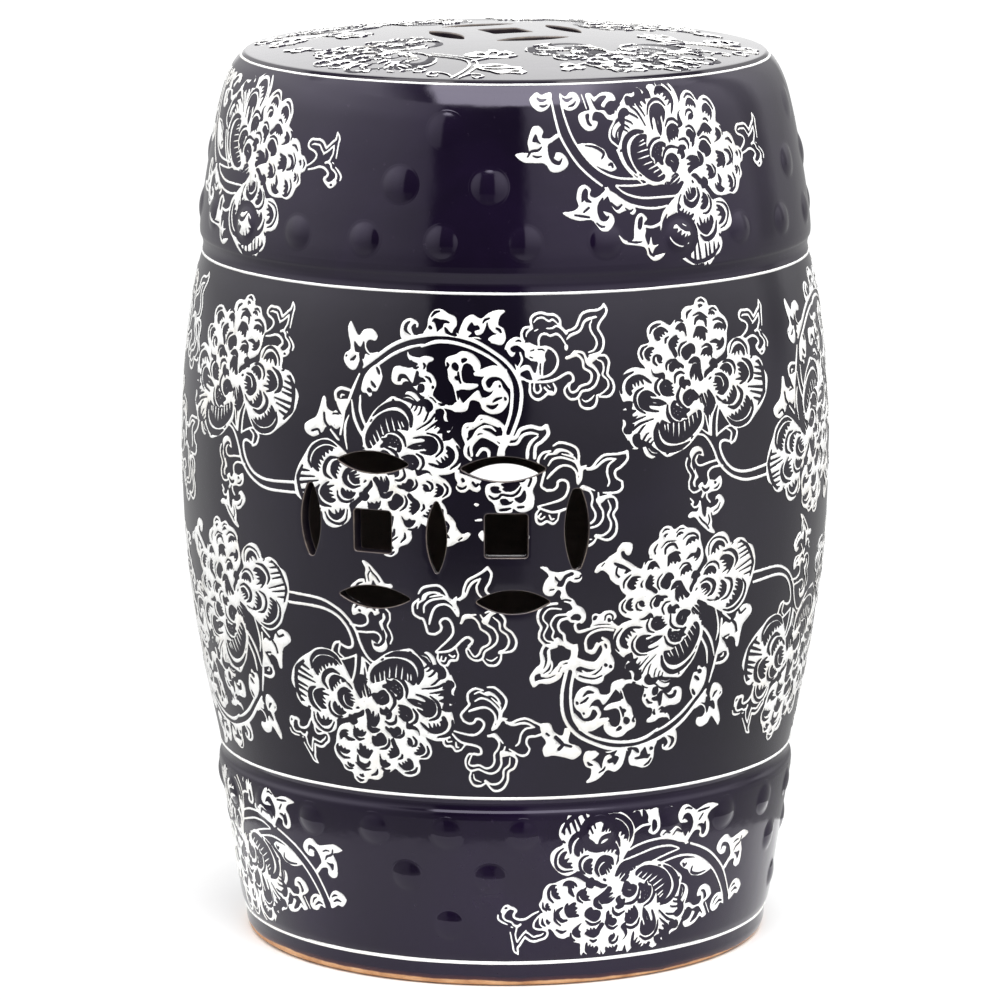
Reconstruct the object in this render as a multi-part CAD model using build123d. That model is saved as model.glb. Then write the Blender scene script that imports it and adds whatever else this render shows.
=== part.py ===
from build123d import *
import math
import os

os.makedirs("parts", exist_ok=True)

# Drum-shaped glazed stoneware garden stool, pierced on two sides and on top.
# Millimetres, +Z up, origin at the middle of the foot, on the floor.
# One pierced panel faces -Y, and one like it faces +Y.

# ---------------------------------------------------------------- dimensions
HEIGHT = 455.0            # floor to the crown of the seat
SEAT_EDGE_R = 128.3       # where the crown meets the rounded edge
SEAT_EDGE_Z = 446.0
SEAT_THICK = 8.5
WALL = 8.0                # wall of the drum

JOINT_SEAT = 443.9        # luted joints between the clay pieces
JOINT_SHOULDER = 346.3
JOINT_WAIST = 97.7
JOINT_FOOT = 12.0

RIM_BORE_R = 122.5        # inward-turned flange that holds the seat
RIM_BORE_Z = 438.3
SHOULDER_IN_R = 143.2     # straight stretch of the inside at each joint
WAIST_IN_R = 136.2
FOOT_IN_R = 117.0

LINE_W = 1.4              # white slip lines over the joints
LINE_SUNK = 0.4
LINE_PROUD = 0.45

BOSS_H = 1.6
BOSS_ROOT = 1.2           # each boss sits this deep in a scored seat in the wall
UPPER_BOSS_D = 17.0
LOWER_BOSS_D = 15.2
BOSS_PITCH = 15.0         # degrees, closest row
BOSS_PAIR = 8.5           # degrees each side, middle row
UPPER_BOSS_Z = (423.0, 397.0, 370.5)   # rows 1, 2, 3 from the top
LOWER_BOSS_Z = (78.8, 55.8, 31.3)

# openings of the front panel, cut by hand: arc along the belly, height of the
# centre, then length, width, width of the blunt point and upright or not
FRONT_LENSES = (
    (-33.0, 264.4, 36.2, 10.3, 1.0, False), (31.6, 263.4, 39.8, 11.8, 1.2, False),
    (-33.0, 198.4, 36.8, 10.9, 1.0, False), (36.3, 198.3, 34.8, 11.6, 1.0, False),
    (-67.3, 233.6, 35.0, 11.3, 2.6, True), (-0.6, 229.5, 34.4, 9.6, 1.4, True),
    (67.0, 233.7, 38.2, 11.6, 4.0, True),
)
FRONT_SQUARES = ((-33.0, 230.8, 19.4, 20.5), (33.0, 230.9, 20.5, 21.3))
BACK_Z = 233.4            # the panel at the back, drawn evenly
COIN_R = 33.0             # lens centres from a coin's centre
SQUARE = 21.0
LENS_L = 38.0
LENS_W = 11.6
LENS_TIP = 1.0
LENS_FLARE = 9.0          # degrees, lenses widen towards the inside
SEAT_COIN_TURN = 36.5     # degrees, pierced coin on the seat
SEAT_COIN_R = 32.0


# ------------------------------------------------------------------ profiles
def slip_seat(p, t):
    """Corners of a slip line round p: seat edge, seat, seat edge, crown."""
    k = math.hypot(*t)
    t = (t[0] / k, t[1] / k)
    n = (t[1], -t[0])
    h = LINE_W / 2
    a = (p[0] - t[0] * h, p[1] - t[1] * h)
    b = (p[0] + t[0] * h, p[1] + t[1] * h)
    a2 = (a[0] - n[0] * LINE_SUNK, a[1] - n[1] * LINE_SUNK)
    b2 = (b[0] - n[0] * LINE_SUNK, b[1] - n[1] * LINE_SUNK)
    h = 0.62 * h
    a3 = (p[0] - t[0] * h + n[0] * LINE_PROUD, p[1] - t[1] * h + n[1] * LINE_PROUD)
    b3 = (p[0] + t[0] * h + n[0] * LINE_PROUD, p[1] + t[1] * h + n[1] * LINE_PROUD)
    return a, a2, b2, b, b3, a3


def at_height(p, q, z):
    """Point of the straight run p-q at height z."""
    u = (z - p[1]) / (q[1] - p[1])
    return (p[0] + (q[0] - p[0]) * u, z)


# points are (radius, height); each line's seat is centred on its joint
FOOT_P = slip_seat((132.4, JOINT_FOOT), (0.10, 1.0))
WAIST_P = slip_seat((144.4, JOINT_WAIST), (0.10, 1.0))
SHOULDER_P = slip_seat((151.5, JOINT_SHOULDER), (-0.16, 1.0))
RIM_P = slip_seat((131.5, JOINT_SEAT), (-0.78, 0.62))

BELLY_OUT = [
    WAIST_P[3], (145.3, 103.0), (147.2, 112.0), (149.2, 121.5), (152.4, 137.2),
    (155.8, 157.7), (158.7, 178.2), (160.8, 198.6), (161.95, 219.1),
    (162.45, 240.0), (162.25, 260.0), (161.3, 280.5), (159.5, 301.0),
    (156.8, 321.5), (154.2, 335.5), SHOULDER_P[0],
]
BELLY_IN = [
    (WAIST_IN_R, 105.5), (138.6, 115.0), (144.2, 137.2), (147.8, 157.7),
    (150.7, 178.2), (152.8, 198.6), (153.95, 219.1), (154.45, 240.0),
    (154.25, 260.0), (153.3, 280.5), (151.5, 301.0), (148.2, 321.5),
    (SHOULDER_IN_R, 338.5),
]
UPPER_COVE = [SHOULDER_P[3], (150.9, 350.2), (151.5, 353.6), (152.35, 355.6),
              (152.5, 358.5)]
UPPER_OUT = [
    (152.5, 358.5), (152.0, 364.5), (150.85, 373.0), (149.4, 383.0),
    (147.7, 393.0), (145.85, 403.0), (143.8, 413.5), (141.6, 423.0),
    (139.6, 430.0), (137.1, 436.0), (134.6, 440.3), RIM_P[0],
]
UPPER_IN = [
    (SHOULDER_IN_R, 354.0), (143.0, 364.0), (141.2, 383.0), (137.7, 403.0),
    (133.6, 421.0), (130.6, 428.6),
]
LOWER_OUT = [
    FOOT_P[3], (133.5, 14.6), (134.4, 17.6), (135.9, 26.0), (137.9, 40.0),
    (140.2, 55.0), (142.6, 70.0), (144.5, 81.5), (145.15, 87.0),
]
LOWER_COVE = [(145.15, 87.0), (144.85, 89.8), (143.75, 91.8), (143.5, 94.2),
              WAIST_P[0]]
LOWER_IN = [(122.6, JOINT_FOOT), (126.6, 22.0), (129.8, 40.0), (132.2, 55.0),
            (134.6, 72.0), (WAIST_IN_R, 90.0)]
FOOT_OUT = [(128.6, 0.0), (130.6, 1.5), (131.7, 4.5), (132.0, 7.6), FOOT_P[0]]


def turned(*edges):
    """Closed profile turned about the vertical axis."""
    outline = [line for e in edges for line in (Plane.XZ * e).edges()]
    return revolve(make_face(outline), Axis.Z, 360)


# ----------------------------------------------------------------- clay wall
rim_mid = at_height(RIM_P[1], RIM_P[2], JOINT_SEAT)
shoulder_mid = at_height(SHOULDER_P[1], SHOULDER_P[2], JOINT_SHOULDER)
waist_mid = at_height(WAIST_P[1], WAIST_P[2], JOINT_WAIST)
foot_mid = at_height(FOOT_P[1], FOOT_P[2], JOINT_FOOT)

foot_ring = turned(
    Spline(*FOOT_OUT),
    Polyline(FOOT_P[0], FOOT_P[1], foot_mid, (122.6, JOINT_FOOT)),
    Spline((122.6, JOINT_FOOT), (118.6, 6.0), (FOOT_IN_R, 1.2)),
    Polyline((FOOT_IN_R, 1.2), (FOOT_IN_R + 1.2, 0.0), FOOT_OUT[0]),
)

lower_wall = turned(
    Polyline(foot_mid, FOOT_P[2], FOOT_P[3]),
    Spline(*LOWER_OUT),
    Spline(*LOWER_COVE),
    Polyline(WAIST_P[0], WAIST_P[1], waist_mid, (WAIST_IN_R, JOINT_WAIST),
             (WAIST_IN_R, 90.0)),
    Spline(*reversed(LOWER_IN)),
    Line(LOWER_IN[0], foot_mid),
)

belly_wall = turned(
    Polyline(waist_mid, WAIST_P[2], WAIST_P[3]),
    Spline(*BELLY_OUT),
    Polyline(SHOULDER_P[0], SHOULDER_P[1], shoulder_mid,
             (SHOULDER_IN_R, JOINT_SHOULDER), (SHOULDER_IN_R, 338.5)),
    Spline(*reversed(BELLY_IN)),
    Polyline((WAIST_IN_R, 105.5), (WAIST_IN_R, JOINT_WAIST), waist_mid),
)

COIL_TOE = (126.7, 433.6)          # where the seat coil ends on the flange
upper_wall = turned(
    Polyline(shoulder_mid, SHOULDER_P[2], SHOULDER_P[3]),
    Spline(*UPPER_COVE),
    Spline(*UPPER_OUT),
    Polyline(RIM_P[0], RIM_P[1], rim_mid, (RIM_BORE_R, JOINT_SEAT),
             (RIM_BORE_R, RIM_BORE_Z), COIL_TOE, (130.6, 428.6)),
    Spline(*reversed(UPPER_IN)),
    Polyline((SHOULDER_IN_R, 354.0), (SHOULDER_IN_R, JOINT_SHOULDER),
             shoulder_mid),
)

# crowned seat with a short spigot inside the flange
under_r = 108.0
under_mid_z = HEIGHT - SEAT_THICK
crown_sag = HEIGHT - SEAT_EDGE_Z
crown_at = lambda r: SEAT_EDGE_Z + crown_sag * (1 - (r / SEAT_EDGE_R) ** 2)
under_at = lambda r: RIM_BORE_Z + (under_mid_z - RIM_BORE_Z) * (1 - (r / under_r) ** 2)
seat_top = turned(
    ThreePointArc((0, HEIGHT), (SEAT_EDGE_R / 2, crown_at(SEAT_EDGE_R / 2)),
                  (SEAT_EDGE_R, SEAT_EDGE_Z)),
    Spline((SEAT_EDGE_R, SEAT_EDGE_Z), (129.6, 445.55), RIM_P[3]),
    Polyline(RIM_P[3], RIM_P[2], rim_mid, (RIM_BORE_R, JOINT_SEAT),
             (RIM_BORE_R, RIM_BORE_Z), (under_r, RIM_BORE_Z)),
    ThreePointArc((under_r, RIM_BORE_Z), (under_r / 2, under_at(under_r / 2)),
                  (0, under_mid_z)),
    Line((0, under_mid_z), (0, HEIGHT)),
)


# ------------------------------------------------------------------ piercing
def lens(length=LENS_L, width=LENS_W, tip=LENS_TIP):
    """Pointed-oval opening along X, its points a little blunt."""
    half, w, e = length / 2, width / 2, tip / 2
    return make_face([
        ThreePointArc((-half, e), (0, w), (half, e)),
        Line((half, e), (half, -e)),
        ThreePointArc((half, -e), (0, -w), (-half, -e)),
        Line((-half, -e), (-half, e)),
    ])


def square(wide=SQUARE, high=SQUARE):
    return RectangleRounded(wide, high, 1.4)


def through_wall(shape, arc, z, facing, flare=0.0):
    """Cutter from outside in, for an opening arc mm along the belly."""
    a = math.degrees(arc / 162.0) + facing
    s, c = math.sin(math.radians(a)), math.cos(math.radians(a))
    frame = Plane(origin=(163.5 * s, -163.5 * c, z), x_dir=(c, s, 0),
                  z_dir=(-s, c, 0))
    return extrude(frame * shape, 24, taper=-flare)


def lens_through(arc, z, length, width, tip, upright, facing):
    shape = lens(length, width, tip)
    if upright:
        shape = Rot(0, 0, 90) * shape
    return through_wall(shape, arc, z, facing, LENS_FLARE)


panel = [lens_through(*row, 0.0) for row in FRONT_LENSES]
panel += [through_wall(square(w, h), arc, z, 0.0) for arc, z, w, h in FRONT_SQUARES]
plain = (LENS_L, LENS_W, LENS_TIP)
for coin in (-COIN_R, COIN_R):
    panel.append(through_wall(square(), coin, BACK_Z, 180.0))
    for dz in (-COIN_R, COIN_R):
        panel.append(lens_through(coin, BACK_Z + dz, *plain, False, 180.0))
for arc in (-2 * COIN_R, 0.0, 2 * COIN_R):
    panel.append(lens_through(arc, BACK_Z, *plain, True, 180.0))
for cutter in panel:
    belly_wall = belly_wall - cutter

seat_cutters = [extrude(Pos(0, 0, 420) * (Rot(0, 0, SEAT_COIN_TURN) * square()), 60)]
for k in range(4):
    turn = SEAT_COIN_TURN + 90 * k
    seat_cutters.append(extrude(
        Pos(0, 0, 420) * (Rot(0, 0, turn) * (Pos(0, -SEAT_COIN_R) * lens())), 60))
for cutter in seat_cutters:
    seat_top = seat_top - cutter


# -------------------------------------------------------------- luting coils
seat_coil = turned(
    Line((115.2, RIM_BORE_Z), (RIM_BORE_R, RIM_BORE_Z)),
    Line((RIM_BORE_R, RIM_BORE_Z), COIL_TOE),
    ThreePointArc(COIL_TOE, (121.4, 435.4), (115.2, RIM_BORE_Z)),
)
shoulder_coil = turned(
    Line((SHOULDER_IN_R, JOINT_SHOULDER - 6), (SHOULDER_IN_R, JOINT_SHOULDER + 6)),
    ThreePointArc((SHOULDER_IN_R, JOINT_SHOULDER + 6),
                  (SHOULDER_IN_R - 3.4, JOINT_SHOULDER),
                  (SHOULDER_IN_R, JOINT_SHOULDER - 6)),
)
waist_coil = turned(
    Line((WAIST_IN_R, JOINT_WAIST - 6), (WAIST_IN_R, JOINT_WAIST + 6)),
    ThreePointArc((WAIST_IN_R, JOINT_WAIST + 6),
                  (WAIST_IN_R - 3.4, JOINT_WAIST),
                  (WAIST_IN_R, JOINT_WAIST - 6)),
)


# ---------------------------------------------------------------- slip lines
def slip_line(p):
    return turned(Polyline(*p, close=True))


rim_line = slip_line(RIM_P)
shoulder_line = slip_line(SHOULDER_P)
waist_line = slip_line(WAIST_P)
foot_line = slip_line(FOOT_P)

# -------------------------------------------------------------------- bosses
upper_core = turned(
    Spline(*UPPER_OUT),
    Polyline(UPPER_OUT[-1], (0, UPPER_OUT[-1][1]), (0, 335.0),
             (UPPER_OUT[0][0], 335.0), UPPER_OUT[0]),
)
lower_core = turned(
    Spline(*LOWER_OUT),
    Polyline(LOWER_OUT[-1], (LOWER_OUT[-1][0], 108.0), (0, 108.0),
             (0, LOWER_OUT[0][1]), LOWER_OUT[0]),
)


def wall_point(points, z):
    """Radius and outward normal of the wall at height z."""
    for (r0, z0), (r1, z1) in zip(points, points[1:]):
        if z0 <= z <= z1:
            u = (z - z0) / (z1 - z0)
            k = math.hypot(r1 - r0, z1 - z0)
            return r0 + (r1 - r0) * u, ((z1 - z0) / k, -(r1 - r0) / k)
    raise ValueError(z)


def boss_row(points, core, z, dia, angles):
    """Low clay domes luted on the wall, one solid for each angle."""
    r, n = wall_point(points, z)
    ball = ((dia / 2) ** 2 + BOSS_H ** 2) / (2 * BOSS_H)
    deep = ball - BOSS_H
    one = Pos(0, -(r - n[0] * deep), z - n[1] * deep) * Sphere(ball) - core
    one = max(one.solids(), key=lambda s: s.volume) + boss_root(r, n, z, dia, 0.15)
    return Compound(children=[Rot(0, 0, a) * one for a in angles])


def boss_root(r, n, z, dia, proud):
    """Round root of a boss, from its seat in the wall to proud of the surface."""
    seat = Plane(origin=(0, -(r - n[0] * BOSS_ROOT), z - n[1] * BOSS_ROOT),
                 x_dir=(1, 0, 0), z_dir=(0, -n[0], n[1]))
    return extrude(seat * Circle(dia / 2 - 1.0), BOSS_ROOT + proud)


def seated(wall, points, rows, dia):
    """Wall with the scored seats of its bosses cut in."""
    cutters = []
    for z, angles in rows:
        r, n = wall_point(points, z)
        cutter = boss_root(r, n, z, dia, 3.0)
        cutters += [Rot(0, 0, a) * cutter for a in angles]
    return wall.cut(*cutters)


ring = [BOSS_PITCH * k for k in range(int(360 / BOSS_PITCH))]
pairs = [90 * q + s * BOSS_PAIR for q in range(4) for s in (-1, 1)]
single = [90 * q for q in range(4)]
rows = (single, pairs, ring)
upper_wall = seated(upper_wall, UPPER_OUT, zip(UPPER_BOSS_Z, rows), UPPER_BOSS_D)
lower_wall = seated(lower_wall, LOWER_OUT, zip(LOWER_BOSS_Z, reversed(rows)), LOWER_BOSS_D)

nodes = {
    "seat_top": seat_top,
    "upper_wall": upper_wall,
    "belly_wall": belly_wall,
    "lower_wall": lower_wall,
    "foot_ring": foot_ring,
    "seat_luting_coil": seat_coil,
    "shoulder_luting_coil": shoulder_coil,
    "waist_luting_coil": waist_coil,
    "rim_slip_line": rim_line,
    "shoulder_slip_line": shoulder_line,
    "waist_slip_line": waist_line,
    "foot_slip_line": foot_line,
    "upper_bosses_row_1": boss_row(UPPER_OUT, upper_core, UPPER_BOSS_Z[0], UPPER_BOSS_D, single),
    "upper_bosses_row_2": boss_row(UPPER_OUT, upper_core, UPPER_BOSS_Z[1], UPPER_BOSS_D, pairs),
    "upper_bosses_row_3": boss_row(UPPER_OUT, upper_core, UPPER_BOSS_Z[2], UPPER_BOSS_D, ring),
    "lower_bosses_row_1": boss_row(LOWER_OUT, lower_core, LOWER_BOSS_Z[0], LOWER_BOSS_D, ring),
    "lower_bosses_row_2": boss_row(LOWER_OUT, lower_core, LOWER_BOSS_Z[1], LOWER_BOSS_D, pairs),
    "lower_bosses_row_3": boss_row(LOWER_OUT, lower_core, LOWER_BOSS_Z[2], LOWER_BOSS_D, single),
}

for name, shape in nodes.items():
    export_step(shape, f"parts/{name}.step")
    print(name, len(shape.solids()), round(shape.volume / 1000, 2), "cm3")
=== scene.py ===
import math
import bpy
import numpy as np
from mathutils import Vector, Matrix
from mathutils.geometry import delaunay_2d_cdt


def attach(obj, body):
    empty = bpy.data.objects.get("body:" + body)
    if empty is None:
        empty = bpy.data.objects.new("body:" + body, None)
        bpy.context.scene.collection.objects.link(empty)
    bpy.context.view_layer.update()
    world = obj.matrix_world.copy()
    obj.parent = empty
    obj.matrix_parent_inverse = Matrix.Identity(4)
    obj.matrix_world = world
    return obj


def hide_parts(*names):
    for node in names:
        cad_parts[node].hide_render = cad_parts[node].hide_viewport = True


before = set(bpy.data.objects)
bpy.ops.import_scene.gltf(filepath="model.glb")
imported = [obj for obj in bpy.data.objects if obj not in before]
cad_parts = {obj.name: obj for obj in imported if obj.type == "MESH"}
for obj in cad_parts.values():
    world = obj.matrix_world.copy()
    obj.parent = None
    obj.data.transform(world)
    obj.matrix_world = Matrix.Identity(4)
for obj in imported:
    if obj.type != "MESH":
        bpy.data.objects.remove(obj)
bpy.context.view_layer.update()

# Drum stool: dark glazed walls luted from separate rings, clay bosses, white
# slip lines over the joints and a white slip peony scroll. Sizes in mm here,
# metres in the meshes. Angle 0 faces -Y, u runs to the right seen from outside.

R_REF = 162.0                     # radius on which the belly drawing is laid out
QUARTER = math.pi / 2 * R_REF     # one repeat of the drawing

# ------------------------------------------------------------ drum profile
FOOT_OUT = [(128.6, 0.0), (130.6, 1.5), (131.7, 4.5), (132.0, 7.6), (132.36, 11.60)]
LOWER_OUT = [(132.44, 12.40), (133.5, 14.6), (134.4, 17.6), (135.9, 26), (137.9, 40), (140.2, 55), (142.6, 70), (144.5, 81.5), (145.15, 87)]
LOWER_COVE = [(145.15, 87), (144.85, 89.8), (143.75, 91.8), (143.5, 94.2), (144.36, 97.30)]
BELLY_OUT = [(144.44, 98.10), (145.3, 103), (147.2, 112), (149.2, 121.5), (152.4, 137.2), (155.8, 157.7), (158.7, 178.2), (160.8, 198.6), (161.95, 219.1), (162.45, 240), (162.25, 260), (161.3, 280.5), (159.5, 301), (156.8, 321.5), (154.2, 335.5), (151.56, 345.90)]
UPPER_COVE = [(151.44, 346.70), (150.9, 350.2), (151.5, 353.6), (152.35, 355.6), (152.5, 358.5)]
UPPER_OUT = [(152.5, 358.5), (152.0, 364.5), (150.85, 373), (149.4, 383), (147.7, 393), (145.85, 403), (143.8, 413.5), (141.6, 423), (139.6, 430), (137.1, 436), (134.6, 440.3), (131.81, 443.65)]
BELLY_IN = [(136.2, 97.7), (136.2, 105.5), (138.6, 115), (144.2, 137.2), (147.8, 157.7), (150.7, 178.2), (152.8, 198.6), (153.95, 219.1), (154.45, 240), (154.25, 260), (153.3, 280.5), (151.5, 301), (148.2, 321.5), (143.2, 338.5), (143.2, 346.3)]
UPPER_IN = [(122.5, 438.3), (126.7, 433.6), (130.6, 428.6), (133.6, 421), (137.7, 403), (141.2, 383), (143, 364), (143.2, 354), (143.2, 346.3)]
LOWER_IN = [(136.2, 97.7), (136.2, 90), (134.6, 72), (132.2, 55), (129.8, 40), (126.6, 22), (122.6, 12)]
SEAT_EDGE = [(128.3, 446.0), (129.6, 445.55), (131.19, 444.15)]
LINES = {"foot": ((132.4, 12.0), (0.10, 1.0)), "waist": ((144.4, 97.7), (0.10, 1.0)), "shoulder": ((151.5, 346.3), (-0.16, 1.0)), "rim": ((131.5, 443.9), (-0.78, 0.62))}
# openings of the front panel, cut by hand: place, length, width, blunt tip, upright
FRONT_LENSES = [(-33.0, 264.4, 36.2, 10.3, 1.0, False), (31.6, 263.4, 39.8, 11.8, 1.2, False), (-33.0, 198.4, 36.8, 10.9, 1.0, False), (36.3, 198.3, 34.8, 11.6, 1.0, False), (-67.3, 233.6, 35.0, 11.3, 2.6, True), (-0.6, 229.5, 34.4, 9.6, 1.4, True), (67.0, 233.7, 38.2, 11.6, 4.0, True)]
FRONT_SQUARES = [(-33.0, 230.8, 19.4, 20.5), (33.0, 230.9, 20.5, 21.3)]
BACK_Z, COIN, SQUARE, LENS_L, LENS_W = 233.4, 33.0, 21.0, 38.0, 11.6
FLARE = 1.35                      # lenses widen this much towards the inside
CROWN_R = (128.3 ** 2 + 81.0) / 18.0


def curve(pts, per=7):
    """Smooth open curve through the points."""
    p = np.asarray(pts, float)
    if len(p) < 3:
        t = np.linspace(0, 1, per + 1)[:, None]
        return p[0] * (1 - t) + p[-1] * t
    q = np.concatenate([[2 * p[0] - p[1]], p, [2 * p[-1] - p[-2]]])
    t = np.linspace(0, 1, per, endpoint=False)[:, None]
    out = []
    for k in range(1, len(q) - 2):
        a, b, c, d = q[k - 1], q[k], q[k + 1], q[k + 2]
        out.append(0.5 * (2 * b + (c - a) * t + (2 * a - 5 * b + 4 * c - d) * t ** 2 + (3 * b - a - 3 * c + d) * t ** 3))
    out.append(p[-1:])
    return np.concatenate(out)


def loop(pts, per=6):
    """Smooth closed curve through the points."""
    p = np.asarray(pts, float)
    n = len(p)
    t = np.linspace(0, 1, per, endpoint=False)[:, None]
    out = []
    for k in range(n):
        a, b, c, d = p[k - 1], p[k], p[(k + 1) % n], p[(k + 2) % n]
        out.append(0.5 * (2 * b + (c - a) * t + (2 * a - 5 * b + 4 * c - d) * t ** 2 + (3 * b - a - 3 * c + d) * t ** 3))
    return np.concatenate(out)


def table_of(pts, per=12):
    c = curve(pts, per)
    order = np.argsort(c[:, 1])
    return c[order, 1], c[order, 0]


_BELLY, _BELLY_IN = table_of(BELLY_OUT), table_of(BELLY_IN)
_UPPER, _LOWER = table_of(UPPER_OUT), table_of(LOWER_OUT)


def belly_r(z): return np.interp(z, *_BELLY)
def belly_in_r(z): return np.interp(z, *_BELLY_IN)
def upper_r(z): return np.interp(z, *_UPPER)
def lower_r(z): return np.interp(z, *_LOWER)


def crown_z(r):
    edge = curve(SEAT_EDGE, 10)
    z = 455.0 - CROWN_R + np.sqrt(CROWN_R ** 2 - np.minimum(r, 128.3) ** 2)
    return np.where(np.asarray(r) > 128.3, np.interp(r, edge[:, 0], edge[:, 1]), z)


def under_z(r):
    r = np.asarray(r, float)
    return np.where(r > 108, 438.3, 438.3 + 8.2 * (1 - (np.minimum(r, 108) / 108) ** 2))


def turn(theta, r, z):
    return np.stack([r * np.sin(theta), -r * np.cos(theta), z], -1)


# ------------------------------------------------------------ mesh helpers
def make(name, verts, faces, mats, smooth=38.0, uv=None, mat_index=None, thin=None, replaces=()):
    me = bpy.data.meshes.new(name)
    me.from_pydata((np.asarray(verts, float) / 1000.0).tolist(), [], [list(map(int, f)) for f in faces])
    me.validate()
    for m in mats:
        me.materials.append(m)
    if mat_index is not None:
        me.polygons.foreach_set("material_index", np.asarray(mat_index, np.int32))
    if uv is not None:
        layer = me.uv_layers.new(name="OFBake")
        idx = np.zeros(len(me.loops), np.int32)
        me.loops.foreach_get("vertex_index", idx)
        layer.data.foreach_set("uv", np.asarray(uv, np.float32)[idx].ravel())
    if thin is not None:
        at = me.attributes.new("thin", "FLOAT", "POINT")
        at.data.foreach_set("value", np.asarray(thin, np.float32))
    me.shade_smooth()
    if smooth is not None:
        me.set_sharp_from_angle(angle=math.radians(smooth))
    ob = bpy.data.objects.new(name, me)
    bpy.context.scene.collection.objects.link(ob)
    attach(ob, "root")
    if replaces:
        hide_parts(*replaces)
    return ob


def lathe(section, n, closed=True):
    """Verts and faces of a section of (r, z) turned about the axis."""
    s = np.asarray(section, float)
    k = len(s)
    th = np.linspace(0, 2 * math.pi, n, endpoint=False)
    v = turn(th[:, None], s[None, :, 0], np.broadcast_to(s[None, :, 1], (n, k))).reshape(-1, 3)
    f = []
    for i in range(n):
        a, b = i * k, ((i + 1) % n) * k
        for j in range(k if closed else k - 1):
            m = (j + 1) % k
            f.append((a + j, b + j, b + m, a + m))
    return v, f


def wave(th, seed, amp, terms=(3, 5, 8, 13, 21, 34)):
    out = np.zeros_like(th)
    for i, t in enumerate(terms):
        out += math.sin(seed * 1.7 + i) * np.sin(t * th + seed * 2.3 + i * 1.9)
    return amp * out / math.sqrt(len(terms))


# ------------------------------------------------------------ materials
def nodes_of(mat):
    mat.use_nodes = True
    nt = mat.node_tree
    nt.nodes.clear()
    return nt, nt.nodes, nt.links


def add(nt, kind, **sets):
    n = nt.nodes.new(kind)
    for k, v in sets.items():
        setattr(n, k, v)
    return n


def noise(nt, scale, detail=3.0, rough=0.55, vec=None, dist=0.0):
    n = nt.nodes.new("ShaderNodeTexNoise")
    n.inputs["Scale"].default_value = scale
    n.inputs["Detail"].default_value = detail
    n.inputs["Roughness"].default_value = rough
    n.inputs["Distortion"].default_value = dist
    if vec is not None:
        nt.links.new(vec, n.inputs["Vector"])
    return n


def ramp(nt, fac, stops):
    n = nt.nodes.new("ShaderNodeValToRGB")
    e = n.color_ramp.elements
    while len(e) < len(stops):
        e.new(0.5)
    for el, (p, c) in zip(e, stops):
        el.position = p
        el.color = (*c, 1.0)
    nt.links.new(fac, n.inputs["Fac"])
    return n


def mix_col(nt, fac, a, b):
    n = nt.nodes.new("ShaderNodeMix")
    n.data_type = "RGBA"
    nt.links.new(fac, n.inputs["Factor"])
    for sock, v in ((n.inputs[6], a), (n.inputs[7], b)):
        if isinstance(v, tuple):
            sock.default_value = (*v, 1.0)
        else:
            nt.links.new(v, sock)
    return n.outputs[2]


def math_node(nt, op, a, b=None, clamp=False):
    n = nt.nodes.new("ShaderNodeMath")
    n.operation = op
    n.use_clamp = clamp
    for i, v in enumerate((a, b)):
        if v is None:
            continue
        if isinstance(v, (int, float)):
            n.inputs[i].default_value = v
        else:
            nt.links.new(v, n.inputs[i])
    return n.outputs[0]


def rgb(r, g, b):
    def lin(c):
        c /= 255.0
        return c / 12.92 if c <= 0.04045 else ((c + 0.055) / 1.055) ** 2.4
    return (lin(r), lin(g), lin(b))


INK = (rgb(12, 9, 18), rgb(16, 12, 24), rgb(22, 17, 33))
VIOLET = (rgb(13, 8, 21), rgb(18, 11, 28), rgb(25, 15, 38))


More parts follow.
